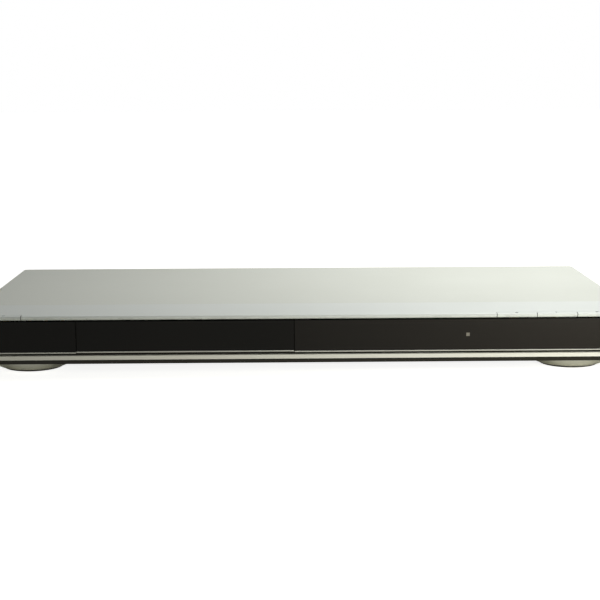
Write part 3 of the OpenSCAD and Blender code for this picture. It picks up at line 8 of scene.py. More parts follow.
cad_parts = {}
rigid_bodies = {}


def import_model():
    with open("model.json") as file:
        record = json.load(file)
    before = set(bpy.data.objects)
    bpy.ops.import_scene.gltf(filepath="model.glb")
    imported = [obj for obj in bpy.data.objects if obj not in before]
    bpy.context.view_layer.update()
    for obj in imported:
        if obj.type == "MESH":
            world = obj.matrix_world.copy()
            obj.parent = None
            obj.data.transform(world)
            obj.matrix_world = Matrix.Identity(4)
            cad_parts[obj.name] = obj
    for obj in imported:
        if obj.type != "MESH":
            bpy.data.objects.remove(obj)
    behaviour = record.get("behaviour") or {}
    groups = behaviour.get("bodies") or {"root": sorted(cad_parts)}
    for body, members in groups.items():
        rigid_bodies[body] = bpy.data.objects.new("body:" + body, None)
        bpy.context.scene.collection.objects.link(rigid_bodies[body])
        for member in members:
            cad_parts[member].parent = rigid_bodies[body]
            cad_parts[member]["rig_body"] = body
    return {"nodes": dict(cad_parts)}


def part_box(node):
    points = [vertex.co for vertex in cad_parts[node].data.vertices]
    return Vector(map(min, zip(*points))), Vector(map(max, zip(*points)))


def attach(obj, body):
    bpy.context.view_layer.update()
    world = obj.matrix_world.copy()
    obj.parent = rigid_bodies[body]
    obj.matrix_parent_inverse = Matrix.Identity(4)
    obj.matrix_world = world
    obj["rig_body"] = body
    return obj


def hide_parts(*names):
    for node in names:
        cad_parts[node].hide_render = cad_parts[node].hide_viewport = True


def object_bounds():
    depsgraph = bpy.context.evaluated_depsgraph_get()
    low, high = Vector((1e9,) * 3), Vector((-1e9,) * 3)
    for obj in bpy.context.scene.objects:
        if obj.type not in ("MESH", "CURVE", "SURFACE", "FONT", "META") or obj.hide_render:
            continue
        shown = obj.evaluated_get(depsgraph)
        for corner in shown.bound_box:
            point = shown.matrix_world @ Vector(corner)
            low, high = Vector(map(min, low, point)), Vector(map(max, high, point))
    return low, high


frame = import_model()
cad_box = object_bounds()
nodes = frame["nodes"]
scene = bpy.context.scene

# ------------------------------------------------------------------ camera
# A long lens near table height, about 0.87 m in front of the player and a little to its left,
# looking down on the cover by some nine degrees.


def put_in_scene(name, data):
    """An object of the scene that holds a camera, a lamp or a mesh."""
    thing = bpy.data.objects.new(name, data)
    scene.collection.objects.link(thing)
    return thing


camera_place = Vector((-0.0105, -0.9740, 0.1936))
camera_turn = radians(0.611)
camera_down = radians(9.388)
camera_roll = radians(-0.287)
lens = bpy.data.cameras.new("front_camera")
lens.lens = 82.533
lens.sensor_width = 36
lens.clip_start = 0.05
lens.clip_end = 60
camera = put_in_scene("front_camera", lens)
along_table = cos(camera_down)
ahead = Vector((sin(camera_turn) * along_table, cos(camera_turn) * along_table, -sin(camera_down)))
side = Vector((cos(camera_turn), -sin(camera_turn), 0))
up = side.cross(ahead)
rolled_side = side * cos(camera_roll) + up * sin(camera_roll)
rolled_up = up * cos(camera_roll) - side * sin(camera_roll)
aim = Matrix((rolled_side, rolled_up, -ahead)).transposed().to_4x4()
camera.matrix_world = Matrix.Translation(camera_place) @ aim
scene.camera = camera
scene.view_settings.view_transform = "Standard"

# ------------------------------------------------------------------ studio
# A pale table top under a white surround, with one soft lamp over the right half of the player and
# one low in front of its right end, so that every face darkens towards the left.


def add(tree, kind, inputs=None, **settings):
    """One node of a tree, its inputs given as values or as the sockets they come from."""
    made = tree.nodes.new(kind)
    for name, value in settings.items():
        setattr(made, name, value)
    for name, value in (inputs or {}).items():
        if isinstance(value, bpy.types.NodeSocket):
            tree.links.new(value, made.inputs[name])
        else:
            made.inputs[name].default_value = value
    return made


def maths(tree, operation, *terms):
    """One step of arithmetic on numbers or sockets."""
    return add(tree, "ShaderNodeMath", dict(enumerate(terms)), operation=operation).outputs[0]


def ramp(tree, value, low=0.0, high=1.0, start=0.0, end=1.0):
    """A number that goes from start to end while a value goes from low to high."""
    return add(tree, "ShaderNodeMapRange", {0: value, 1: low, 2: high, 3: start, 4: end}).outputs[0]


def axes(tree, vector):
    """The X, Y and Z of a vector."""
    return add(tree, "ShaderNodeSeparateXYZ", {0: vector}).outputs


def noise(tree, place, scale, detail=2.0, roughness=0.5):
    """Irregular soft patches."""
    return add(tree, "ShaderNodeTexNoise", {
        "Vector": place, "Scale": scale, "Detail": detail, "Roughness": roughness,
    }).outputs["Fac"]


world = bpy.data.worlds.new("surround")
scene.world = world
world.use_nodes = True
tree = world.node_tree
tree.nodes.clear()
ambient = add(tree, "ShaderNodeBackground", {"Color": (1.0, 1.0, 0.94, 1.0), "Strength": 0.05})
white = add(tree, "ShaderNodeBackground", {"Color": (1.0, 1.0, 1.0, 1.0), "Strength": 1.0})
# White to the camera, in a mirror and through clear glass, and dim where it only lights
path = add(tree, "ShaderNodeLightPath").outputs
seen = maths(tree, "MAXIMUM", path["Is Camera Ray"], path["Is Glossy Ray"])
seen = maths(tree, "MAXIMUM", seen, path["Is Transmission Ray"])
shown = add(tree, "ShaderNodeMixShader", {0: seen, 1: ambient.outputs[0], 2: white.outputs[0]})
add(tree, "ShaderNodeOutputWorld", {"Surface": shown.outputs[0]})

table_half = 6
table_corners = [(x * table_half, y * table_half, 0) for x, y in ((-1, -1), (1, -1), (1, 1), (-1, 1))]
floor_mesh = bpy.data.meshes.new("table_top")
floor_mesh.from_pydata(table_corners, [], [(0, 1, 2, 3)])
floor = put_in_scene("table_top", floor_mesh)
table_paint = bpy.data.materials.new("table_paint")
table_paint.use_nodes = True
tree = table_paint.node_tree
place = add(tree, "ShaderNodeTexCoord").outputs["Object"]
away = add(tree, "ShaderNodeVectorMath", {0: place}, operation="LENGTH").outputs["Value"]
path = add(tree, "ShaderNodeLightPath").outputs
# To the camera the table glows a little less near the player: a painted shade round it that fades out by
# 1.1 m
paler = ramp(tree, away, low=0.25, high=1.1, start=0.86)
paler = maths(tree, "MULTIPLY", path["Is Camera Ray"], paler)
# In gloss the table carries a painted shadow under the player, and grows lighter away from it
outward = add(tree, "ShaderNodeVectorMath", {0: place}, operation="ABSOLUTE").outputs[0]
outward = add(tree, "ShaderNodeVectorMath", {0: outward, 1: cad_box[1]}, operation="SUBTRACT").outputs[0]
outward = axes(tree, outward)
clear = maths(tree, "MAXIMUM", outward["X"], outward["Y"])
beside = ramp(tree, clear, low=-0.02, high=0.012, start=0.03, end=0.7)
beyond = ramp(tree, clear, low=0.05, high=0.9, end=0.3)
mirrored = maths(tree, "ADD", beside, beyond)
glow = maths(tree, "MULTIPLY_ADD", path["Is Glossy Ray"], mirrored, paler)
shade = ramp(tree, noise(tree, place, 14.0), start=0.80, end=0.84)
yellowing = 0.86
warmer = maths(tree, "MULTIPLY", shade, yellowing)
tint = add(tree, "ShaderNodeCombineColor", {0: shade, 1: shade, 2: warmer}).outputs[0]
sockets = tree.nodes["Principled BSDF"].inputs
sockets["Roughness"].default_value = 0.85
sockets["Specular IOR Level"].default_value = 0.1
sockets["Emission Color"].default_value = (1, 1, 1, 1)
tree.links.new(tint, sockets["Base Color"])
tree.links.new(glow, sockets["Emission Strength"])
floor_mesh.materials.append(table_paint)


def soft_lamp(name, place, target, width, power, colour, mirrored=True):
    """A square lamp aimed at a point, which glossy faces may or may not mirror."""
    light = bpy.data.lights.new(name, "AREA")
    light.size = width
    light.energy = power
    light.color = colour
    lamp = put_in_scene(name, light)
    lamp.location = place
    lamp.rotation_euler = (Vector(target) - Vector(place)).to_track_quat("-Z", "Y").to_euler()
    lamp.visible_camera = False
    lamp.visible_glossy = mirrored


soft_lamp("over_right", place=(0.21, 0.1, 0.42), target=(0.15, 0.0, 0.04), width=0.3, power=2.15,
          colour=(0.99, 0.99, 1.0))
soft_lamp("front_right", place=(0.3, -0.45, 0.13), target=(0.13, -0.1, 0.02), width=0.18, power=1.55,
          colour=(1.0, 0.99, 0.98), mirrored=False)

# ------------------------------------------------------------------ top cover
# One sheet of pre-painted steel, folded down at both sides and over the rear panel, with a satin
# silver-grey lacquer. Its front edge lies on a tongue of the bezel, and screws hold its sides and rear.


def linear(red, green, blue):
    """A colour given in display steps from 0 to 255, as the shader wants it."""
    steps = [c / 255 for c in (red, green, blue)]
    return tuple(c / 12.92 if c <= 0.04045 else ((c + 0.055) / 1.055) ** 2.4 for c in steps) + (1.0,)


def new_group(name, kind, inputs, outputs):
    """An empty tree with its inputs and outputs named, and the sockets of its two ends.

    An input is given by its starting number, or by the sort of socket that it is."""
    group = bpy.data.node_groups.new(name, kind)
    for label, value in inputs.items():
        sort = value if isinstance(value, str) else "Float"
        socket = group.interface.new_socket(label, in_out="INPUT", socket_type="NodeSocket" + sort)
        if sort == "Float":
            socket.default_value = value
    for label, sort in outputs.items():
        group.interface.new_socket(label, in_out="OUTPUT", socket_type="NodeSocket" + sort)
    return group, group.nodes.new("NodeGroupInput").outputs, group.nodes.new("NodeGroupOutput").inputs


# Fine tooth of a lacquer or a moulding, with the slow unevenness of its colour and gloss
tree, given, wanted = new_group(
    "surface_grain", "ShaderNodeTree", {"Place": "Vector", "Grain Scale": 1500.0, "Cloud Scale": 18.0},
    {"Height": "Float", "Cloud": "Float", "Speck": "Float"},
)
tooth = noise(tree, given["Place"], given["Grain Scale"], detail=3.0)
clouds = noise(tree, given["Place"], given["Cloud Scale"], detail=4.0)
flakes = add(tree, "ShaderNodeTexVoronoi", {"Vector": given["Place"], "Scale": given["Grain Scale"]})
speck = add(tree, "ShaderNodeSeparateColor", {0: flakes.outputs["Color"]}).outputs[0]
tree.links.new(tooth, wanted["Height"])
tree.links.new(ramp(tree, clouds, low=0.3, high=0.7), wanted["Cloud"])
tree.links.new(speck, wanted["Speck"])

# Where hands and cloths have rubbed the rounded edges, broken up so that it isn't a line
tree, given, wanted = new_group(
    "rubbed_edges", "ShaderNodeTree", {"Place": "Vector", "Amount": 0.5}, {"Mask": "Float"})
edges = add(tree, "ShaderNodeAttribute", attribute_name="edge").outputs["Fac"]
patches = ramp(tree, noise(tree, given["Place"], 160.0, detail=5.0), low=0.48, high=0.62)
mask = maths(tree, "MULTIPLY", maths(tree, "MULTIPLY", edges, patches), given["Amount"])
tree.links.new(mask, wanted["Mask"])

# Dust that has settled on faces that look up
tree, given, wanted = new_group(
    "settled_dust", "ShaderNodeTree", {"Place": "Vector", "Amount": 0.2}, {"Mask": "Float"})
upward = axes(tree, add(tree, "ShaderNodeNewGeometry").outputs["Normal"])["Z"]
upward = ramp(tree, upward, low=0.5, high=0.95)
motes = noise(tree, given["Place"], 900.0, detail=6.0, roughness=0.7)
motes = ramp(tree, motes, low=0.5, high=0.78)
mask = maths(tree, "MULTIPLY", maths(tree, "MULTIPLY", upward, motes), given["Amount"])
tree.links.new(mask, wanted["Mask"])
dust_tone = (168, 163, 152)


def effect(tree, group, inputs):
    """One of the shared effects, placed in a material with its own values."""
    return add(tree, "ShaderNodeGroup", inputs, node_tree=bpy.data.node_groups[group]).outputs


def blend(tree, amount, first, second, way="MIX"):
    """Two colours mixed by an amount."""
    mix = add(tree, "ShaderNodeMix", {0: amount, 6: first, 7: second}, data_type="RGBA", blend_type=way)
    return mix.outputs[2]


def repaint(tree, amount, colour, way="MIX"):
    """Another colour over the base colour of a material, by an amount or a mask."""
    base = tree.nodes["Principled BSDF"].inputs["Base Color"]
    tree.links.new(blend(tree, amount, base.links[0].from_socket, colour, way), base)


def ridges(tree, height, depth):
    """The relief of a material, in place of what it had."""
    relief = add(tree, "ShaderNodeBump", {"Height": height, "Distance": depth}).outputs[0]
    tree.links.new(relief, tree.nodes["Principled BSDF"].inputs["Normal"])


def finish(name, dark, light, rough, metal=0.0, grain=1500.0, depth=0.00001, cloud=18.0, flake=0.0,
           bare=None, wear=0.0, dust=0.0, spread=0.06, level=0.5, also=None):
    """A surface finish: a base colour between two tones, fine tooth, worn edges and dust.

    Further values go straight on the shader's own sockets. Returns the material, its tree and the
    Object coordinates, for what a piece adds."""
    material = bpy.data.materials.new(name)
    material.use_nodes = True
    tree = material.node_tree
    sockets = tree.nodes["Principled BSDF"].inputs
    place = add(tree, "ShaderNodeTexCoord").outputs["Object"]
    surface = effect(tree, "surface_grain", {"Place": place, "Grain Scale": grain, "Cloud Scale": cloud})
    amount = surface["Cloud"]
    if flake:
        amount = add(tree, "ShaderNodeMix", {0: flake, 2: amount, 3: surface["Speck"]}).outputs[0]
    tree.links.new(blend(tree, amount, linear(*dark), linear(*light)), sockets["Base Color"])
    for group, share, tone in (("rubbed_edges", wear, bare), ("settled_dust", dust, dust_tone)):
        if share:
            repaint(tree, effect(tree, group, {"Place": place, "Amount": share})[0], linear(*tone))
    gloss = ramp(tree, surface["Cloud"], start=rough - spread / 2, end=rough + spread / 2)
    tree.links.new(gloss, sockets["Roughness"])
    ridges(tree, surface["Height"], depth)
    for socket, value in {"Metallic": metal, "Specular IOR Level": level, **(also or {})}.items():
        sockets[socket].default_value = value
    return material, tree, place


# Corners this close are one point, and faces that turn by less than this are one flat face
same_point = 2e-6
same_face = radians(0.4)
# A turn between these two belongs to a curve, and one above them is a corner
curve_turn = radians(1)
corner_turn = radians(35)
# Faces that turn by less than this are shaded as one surface
smooth_turn = radians(38)


def merged_copy(node):
    """The triangles of a CAD node, joined where their corners meet."""
    work = bmesh.new()
    work.from_mesh(nodes[node].data)
    bmesh.ops.remove_doubles(work, verts=work.verts, dist=same_point)
    return work


def kept_mesh(name, work, materials):
    """A worked shape as a plain mesh with its materials."""
    mesh = bpy.data.meshes.new(name)
    work.to_mesh(mesh)
    work.free()
    for material in materials:
        mesh.materials.append(material)
    return mesh


def evaluated_mesh(thing):
    """The plain mesh that an object's modifiers make."""
    bpy.context.view_layer.update()
    return bpy.data.meshes.new_from_object(thing.evaluated_get(bpy.context.evaluated_depsgraph_get()))


def outer_corner(edge, straight_only=True):
    """Whether an edge is an outer corner between two faces, and neither belongs to a curve."""
    if len(edge.link_faces) != 2 or not edge.is_convex or edge.calc_face_angle() < corner_turn:
        return False
    if not straight_only:
        return True
    for face in edge.link_faces:
        for other in face.edges:
            if len(other.link_faces) == 2 and curve_turn < other.calc_face_angle() < corner_turn:
                return False
    return True


def rounded(radius, steps=2):
    """A rounding of every outer corner that belongs to no curve."""
    return radius, steps, outer_corner


def dress(name, node, materials, slot, rounds=(), paint=None, shortest=0.0012):
    """A finer stand-in for a CAD node: merged, edges rounded and marked for wear, curves smooth.

    Each rounding is a radius, its steps and the rule that picks its edges. The paint rule takes a
    face's middle and normal and says which of the materials it gets."""
    work = merged_copy(node)
    bmesh.ops.dissolve_limit(work, angle_limit=same_face, verts=work.verts, edges=work.edges)
    rim = work.faces.layers.float.new("edge")
    for radius, steps, pick in rounds:
        corners = [e for e in work.edges if e.calc_length() > shortest and pick(e)]
        made = bmesh.ops.bevel(work, geom=corners, offset=radius, segments=steps, affect="EDGES",
                               profile=0.5, clamp_overlap=True)
        for face in made["faces"]:
            face[rim] = 1.0
    if paint:
        for face in work.faces:
            face.material_index = paint(face.calc_center_median(), face.normal)
    settle(name, kept_mesh(name, work, materials), nodes[node]["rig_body"], slot, node)


def settle(name, mesh, body, slot, *replaced):
    """Smooth a mesh between its sharp edges, keep its flat faces flat, and put it on its body."""
    mesh.shade_smooth()
    mesh.set_sharp_from_angle(angle=smooth_turn)
    piece = put_in_scene(name, mesh)
    piece.modifiers.new("flat_faces", "WEIGHTED_NORMAL").keep_sharp = True
    finished = evaluated_mesh(piece)
    piece.modifiers.clear()
    piece.data = finished
    bpy.data.meshes.remove(mesh)
    finished.name = name
    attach(piece, body)
    if replaced:
        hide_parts(*replaced)


cover_low, cover_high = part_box("top_cover")
fold_radius = 0.00075
fold_width = 0.0035
on_line = 1e-5


def fold_edge(edge):
    """The folds along the sides and the rear, and the arcs of the rear corners between them."""
    if not outer_corner(edge, straight_only=False):
        return False
    ends = [v.co for v in edge.verts]
    on_top = all(abs(v.z - cover_high.z) < on_line for v in ends)
    along_seam = all(abs(v.y - cover_low.y) < on_line for v in ends)
    inside = all(abs(v.x) < cover_high.x - fold_width and v.y < cover_high.y - fold_width for v in ends)
    return on_top and not along_seam and not inside


cover_lacquer = finish(
    "cover_lacquer", (199, 202, 191), (204, 207, 197), 0.5, metal=0.05, grain=2600.0, depth=0.000012,
    flake=0.35, bare=(150, 150, 146), wear=0.35, dust=0.05, spread=0.05, level=0.1,
)[0]
dress("cover_sheet", "top_cover", [cover_lacquer], "silver_paint", [(fold_radius, 4, fold_edge)],
      shortest=0.0001)

# ------------------------------------------------------------------ front bezel
# One silver-lacquered ABS moulding: the sloping shelf with its lip, the cheeks and the band along the
# bottom. It is fitted over the black subframe, and its tongue reaches under the cover's front edge.
bezel_lacquer_and_glow, tree, place = finish(
    "bezel_lacquer_and_glow", (202, 207, 200), (208, 212, 206), 0.4, metal=0.05, grain=3200.0, depth=0.000006,
    flake=0.35, bare=(120, 120, 116), wear=0.15, dust=0.03, spread=0.05, level=0.1,
)
lip_underside = 0.0372
band_low, band_high = 0.0114, 0.0140
front_face = -0.1035
cheek_inside = 0.2128
# The band along the bottom, between the cheeks, is painted warmer and lighter: a painted light for the
# warm glow that the table throws up onto it
band_glow_start, band_glow_full = band_high + 0.0015, band_high + 0.0005
band_glow_fade = 0.0005
apart = axes(tree, place)
low_down = ramp(tree, apart["Z"], low=band_glow_start, high=band_glow_full)
sideways = maths(tree, "ABSOLUTE", apart["X"])
between = ramp(tree, sideways, low=cheek_inside, high=cheek_inside - band_glow_fade)
# Painted light: the band's warmer, lighter tone
repaint(tree, maths(tree, "MULTIPLY", low_down, between), linear(219, 218, 206))
near_line = 2e-5


def front_edge(height):
    """A rule that picks the long front edge at one height."""

    def pick(edge):
        ends = [v.co for v in edge.verts]
        in_front = all(abs(v.y - front_face) < near_line for v in ends)
        return in_front and all(abs(v.z - height) < near_line for v in ends) and edge.is_convex

    return pick


small_corners = rounded(0.00018)
lip_round = (0.0017, 6, front_edge(lip_underside))
band_rounds = [(0.0012, 5, front_edge(band_low)), (0.001, 4, front_edge(band_high))]
# A dark painted shade for the side walls of the narrow cuts round the keys
painted_gap_shade = finish("painted_gap_shade", (46, 42, 38), (54, 50, 46), 0.6, depth=0.00002, level=0.2)[0]
key_span = 0.2055
lip_start = lip_underside - 0.001
# How far a face has to turn to an axis to count as facing along it
squarely = 0.9


def bezel_face(middle, normal):
    """The side walls of the cuts round the keys take a dark painted shade, for the shade deep in those
    narrow gaps.
    """
    return 1 if abs(normal.x) > squarely and abs(middle.x) < key_span and middle.z > lip_start else 0


dress("bezel_shell", "front_bezel", [bezel_lacquer_and_glow, painted_gap_shade], "silver_plastic",
      [lip_round, *band_rounds, small_corners], bezel_face)

# ------------------------------------------------------------------ keys in the lip
# Four moulded keys in the bezel's own lacquer, cut out of its lip: power at the left, then open, play
# and stop at the right. Each has a thin arm under the shelf that pushes a switch.
for node in ("power_button", "open_button", "play_button", "stop_button"):
    dress(node.replace("button", "key"), node, [bezel_lacquer_and_glow, painted_gap_shade], "silver_plastic",
          [lip_round, rounded(0.00015)], bezel_face)

# Printed signs on the shelf behind the keys, in dark grey ink a few hundredths of a millimetre thick
sign_ink = finish("sign_ink", (70, 74, 72), (84, 88, 86), 0.5, grain=2000.0, depth=0.000004)[0]
ink_depth = 0.00004
shelf_front = Vector((0, -0.1025, 0.040))
shelf_rear = Vector((0, -0.0735, 0.0425))
shelf_run = (shelf_rear - shelf_front).normalized()
shelf_up = Vector((0, -shelf_run.z, shelf_run.y))
sign_middle = 0.0018
sign_half = 0.00105


def arc(radius, start, end, count):
    """Points on a circle, clockwise from the top, in degrees."""
    turns = [radians(start + (end - start) * i / count) for i in range(count + 1)]
    return [(radius * sin(t), radius * cos(t)) for t in turns]


def bar(left, low, right, high):
    """The corners of an upright rectangle."""
    return [(left, low), (right, low), (right, high), (left, high)]


def printed_sign(name, x, outlines):
    """A sign of one or more outlines about its middle, in units of half its size."""
    work = bmesh.new()
    for outline in outlines:
        ring = []
        for u, v in outline:
            across = shelf_front + Vector((x + u * sign_half, 0, 0))
            ring.append(across + shelf_run * (sign_middle + v * sign_half))
        upper = [work.verts.new(point + shelf_up * ink_depth) for point in ring]
        lower = [work.verts.new(point - shelf_up * ink_depth) for point in ring]
        work.faces.new(upper)
        work.faces.new(list(reversed(lower)))
        for i in range(len(ring)):
            j = (i + 1) % len(ring)
            work.faces.new([upper[j], upper[i], lower[i], lower[j]])
    bmesh.ops.recalc_face_normals(work, faces=work.faces)
    bmesh.ops.triangulate(work, faces=[f for f in work.faces if len(f.verts) > 4])
    sign = put_in_scene(name, kept_mesh(name, work, [sign_ink]))
    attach(sign, "case")


# Each sign by the middle of its key: a ring with a bar, a triangle over a bar, a triangle, a square
broken_ring = arc(1.0, 35, 325, 24) + arc(0.76, 325, 35, 24)
signs = {
    "power_sign": (-0.1921, [broken_ring, bar(-0.12, 0.1, 0.12, 1.15)]),
    "open_sign": (0.1387, [[(-1, -0.35), (1, -0.35), (0, 0.95)], bar(-1, -0.95, 1, -0.62)]),
    "play_sign": (0.1647, [[(-0.75, -0.95), (0.95, 0), (-0.75, 0.95)]]),
    "stop_sign": (0.1907, [bar(-0.8, -0.8, 0.8, 0.8)]),
}
for name, (key_middle, outlines) in signs.items():
    printed_sign(name, key_middle, outlines)

# ------------------------------------------------------------------ dark windows and tray door
# Smoked acrylic, polished and almost black: a narrow blank at the left and the long display window, both
# set on the subframe, and between them the door, which travels with the tray. The long one is painted
# lighter towards its right end, a painted sheen for the light that falls on it from the right, and the
# receiver behind it shows as a grey spot.


def smoked_acrylic(name):
    """Polished acrylic, smoked until it is almost black."""
    return finish(name, (15, 14, 11), (18, 17, 14), 0.12, grain=500.0, depth=0.0000015, cloud=9.0,
                  spread=0.05, level=0.07)


smoked = smoked_acrylic("smoked_acrylic")[0]
display_smoke_and_glow, tree, place = smoked_acrylic("display_smoke_and_glow")
window_low, window_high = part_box("display_window")
# Painted light: the long window grows lighter towards its right end
painted_right_glow = ramp(tree, axes(tree, place)["X"], low=window_low.x, high=window_high.x, start=0.35)
repaint(tree, painted_right_glow, linear(38, 35, 31))
receiver = Vector((0.1072, 0, 0.02635))
spot_outside, spot_inside = 0.00125, 0.00095
offset = add(tree, "ShaderNodeVectorMath", {0: place, 1: receiver}, operation="SUBTRACT").outputs[0]
offset = axes(tree, offset)
reach = maths(tree, "MAXIMUM", maths(tree, "ABSOLUTE", offset["X"]), maths(tree, "ABSOLUTE", offset["Z"]))
repaint(tree, ramp(tree, reach, low=spot_outside, high=spot_inside), linear(122, 118, 108))
for name, node, acrylic in (("left_blank", "side_window", smoked), ("door_panel", "tray_door", smoked),
                            ("display_glass", "display_window", display_smoke_and_glow)):
    dress(name, node, [acrylic], "dark_window", [rounded(0.0002)])

# ------------------------------------------------------------------ silver strips
# Thin mouldings with a vacuum-metallised face along the lower edges of the windows and of the door.
# They are glued in, and the door's own strip travels with it.
strip_plating = finish(
    "strip_plating", (176, 176, 166), (186, 186, 176), 0.3, metal=0.2, grain=2200.0, depth=0.000004,
    bare=(90, 90, 88), wear=0.2, level=0.3,
)[0]
for name, node in (("window_strip", "window_trim"), ("door_strip", "door_trim")):
    dress(name, node, [strip_plating], "trim_silver", [rounded(0.0002)])

# ------------------------------------------------------------------ front subframe
# Black ABS carrier behind the windows, with the mouth for the tray and the posts of the display board.
# It stands between the silver bezel and the front of the chassis.
black_moulding = finish(
    "black_moulding", (23, 21, 14), (29, 27, 19), 0.52, grain=1400.0, depth=0.00003, bare=(70, 70, 70),
    wear=0.15, dust=0.10, spread=0.1, level=0.2,
)[0]
dress("window_carrier", "front_subframe", [black_moulding], "black_abs", [small_corners])

# ------------------------------------------------------------------ feet
# Two wide silver bowls at the front and two smaller ones at the rear, moulded ABS with a metallised
# skin, each on a ring of grey felt and held by one screw from below.
foot_skin = finish(
    "foot_skin", (204, 203, 188), (214, 213, 198), 0.22, metal=0.6, grain=1800.0, depth=0.000006,
    bare=(70, 70, 66), wear=0.3, spread=0.08, level=0.2,
)[0]
for name, node in (("front_bowls", "front_feet"), ("rear_bowls", "rear_feet")):
    dress(name, node, [foot_skin], "foot_silver")
felt = finish(
    "grey_felt", (58, 58, 58), (84, 83, 80), 0.95, grain=2400.0, depth=0.00016, cloud=500.0,
    spread=0.05, level=0.2, also={"Sheen Weight": 0.4, "Sheen Roughness": 0.5},
)[0]
dress("felt_rings", "foot_pads", [felt], "felt_grey", [(0.0002, 2, lambda e: outer_corner(e, False))],
      shortest=0.0001)

# ------------------------------------------------------------------ chassis and rear panel
# Folded from galvanised steel: the floor with its side flanges, the rear panel with a hole for every
# jack, and the strap over the disc. The zinc shows its soft crystals, and pressed edges are bright.
galvanised, tree, place = finish(
    "galvanised_sheet", (98, 97, 91), (112, 111, 104), 0.38, metal=0.15, grain=1800.0, depth=0.000006,
    bare=(170, 170, 168), wear=0.5, dust=0.08, spread=0.08, level=0.2,
)
crystals = add(tree, "ShaderNodeTexVoronoi", {"Vector": place, "Scale": 210.0, "Randomness": 1.0})
tone = add(tree, "ShaderNodeSeparateColor", {0: crystals.outputs["Color"]}).outputs
deep = ramp(tree, tone[0], start=0.87)
grey = add(tree, "ShaderNodeCombineColor", {0: deep, 1: deep, 2: deep}).outputs[0]
repaint(tree, 1.0, grey, way="MULTIPLY")
gloss = ramp(tree, tone[1], start=0.30, end=0.46)
tree.links.new(gloss, tree.nodes["Principled BSDF"].inputs["Roughness"])
for name, node in (("chassis_tray", "bottom_chassis"), ("rear_sheet", "rear_panel"),
                   ("bridge_strap", "clamp_bridge")):
    dress(name, node, [galvanised], "bare_steel", [small_corners])

# ------------------------------------------------------------------ screws
# Zinc-plated pan heads with a cross recess: in the cover's sides and rear lip, under the feet, and
# inside on the boards, the loader, its strap and the front boards.
plated_steel = finish("plated_steel", (168, 166, 158), (188, 186, 178), 0.3, metal=0.75, grain=2500.0,
                      depth=0.000005, spread=0.12)[0]


def separate_solids(node):
    """The corner points of each separate solid in a node."""
    work = merged_copy(node)
    found, seen = [], set()
    for start in work.verts:
        if start in seen:
            continue
        seen.add(start)
        group, waiting = [], [start]
        while waiting:
            vert = waiting.pop()
            group.append(vert.co.copy())
            for edge in vert.link_edges:
                other = edge.other_vert(vert)
                if other not in seen:
                    seen.add(other)
                    waiting.append(other)
        found.append(group)
    work.free()
    return found


def box_of(points):
    """The lowest and highest corners round some points."""
    return tuple(Vector([pick(p[i] for p in points) for i in range(3)]) for pick in (min, max))


def store_ways(mesh, ways):
    """Gives each point of a mesh its outward way."""
    stored = mesh.attributes.new("way", "FLOAT_VECTOR", "POINT")
    stored.data.foreach_set("vector", [c for way in ways for c in way])


screw_head_radius = 0.0028
# Points farther out than this share of the radius belong to the head
head_share = 0.8


def screw_places(node):
    """A mesh of points, one under each screw's head, with its outward way and its reach inwards."""
    seats, ways, reaches = [], [], []
    for solid in separate_solids(node):
        low, high = box_of(solid)
        middle, span = (low + high) / 2, high - low
        axis = max(range(3), key=lambda i: abs(span[i] - 2 * screw_head_radius))
        sideways = [i for i in range(3) if i != axis]
        head = [p[axis] for p in solid
                if sum((p[i] - middle[i]) ** 2 for i in sideways) ** 0.5 > screw_head_radius * head_share]
        outward = 1 if high[axis] - max(head) < min(head) - low[axis] else -1
        seat = middle.copy()
        seat[axis] = min(head) if outward > 0 else max(head)
        seats.append(seat)
        ways.append([outward if i == axis else 0 for i in range(3)])
        reaches.append(abs(seat[axis] - (low[axis] if outward > 0 else high[axis])))
    places = bpy.data.meshes.new(node)
    places.from_pydata(seats, [], [])
    store_ways(places, ways)
    places.attributes.new("reach", "FLOAT", "POINT").data.foreach_set("value", reaches)
    return places


def times(tree, value, factor):
    """A size times a plain number."""
    return maths(tree, "MULTIPLY", value, factor)


def moved(tree, geometry, x=0.0, y=0.0, z=0.0):
    """A piece of geometry set off by three sizes."""
    way = add(tree, "ShaderNodeCombineXYZ", {"X": x, "Y": y, "Z": z}).outputs[0]
    return add(tree, "GeometryNodeTransform", {"Geometry": geometry, "Translation": way}).outputs[0]


def block(tree, x, y, z):
    """A box of three sizes about its middle."""
    size = add(tree, "ShaderNodeCombineXYZ", {"X": x, "Y": y, "Z": z}).outputs[0]
    return add(tree, "GeometryNodeMeshCube", {"Size": size}).outputs["Mesh"]


def joined(tree, *parts):
    """Several pieces of geometry as one."""
    join = add(tree, "GeometryNodeJoinGeometry")
    for part in parts:
        tree.links.new(part, join.inputs[0])
    return join.outputs[0]


def facing_way(tree, axis):
    """The rotation that turns an axis of an instance to the point's own way."""
    way = add(tree, "GeometryNodeInputNamedAttribute", {"Name": "way"}, data_type="FLOAT_VECTOR")
    return add(tree, "FunctionNodeAlignRotationToVector", {"Vector": way.outputs[0]}, axis=axis,
               pivot_axis="AUTO" if axis == "Z" else "Z").outputs[0]


def close_tree(tree, geometry, given, wanted):
    """The end of a growing tree: its instances made real, with their material."""
    solid = add(tree, "GeometryNodeRealizeInstances", {"Geometry": geometry}).outputs[0]
    solid = add(tree, "GeometryNodeSetMaterial", {"Geometry": solid, "Material": given["Material"]})
    tree.links.new(solid.outputs[0], wanted["Geometry"])


def grow(name, places, tree, sizes, slot, *replaced):
    """Runs a tree on a mesh of places, and keeps the result as one plain mesh on the case."""
    host = put_in_scene(name, places)
    modifier = host.modifiers.new(name, "NODES")
    modifier.node_group = tree
    for socket in tree.interface.items_tree:
        if socket.in_out == "INPUT" and socket.name in sizes:
            modifier[socket.identifier] = sizes[socket.name]
    mesh = evaluated_mesh(host)
    bpy.data.objects.remove(host)
    settle(name, mesh, "case", slot, *replaced)


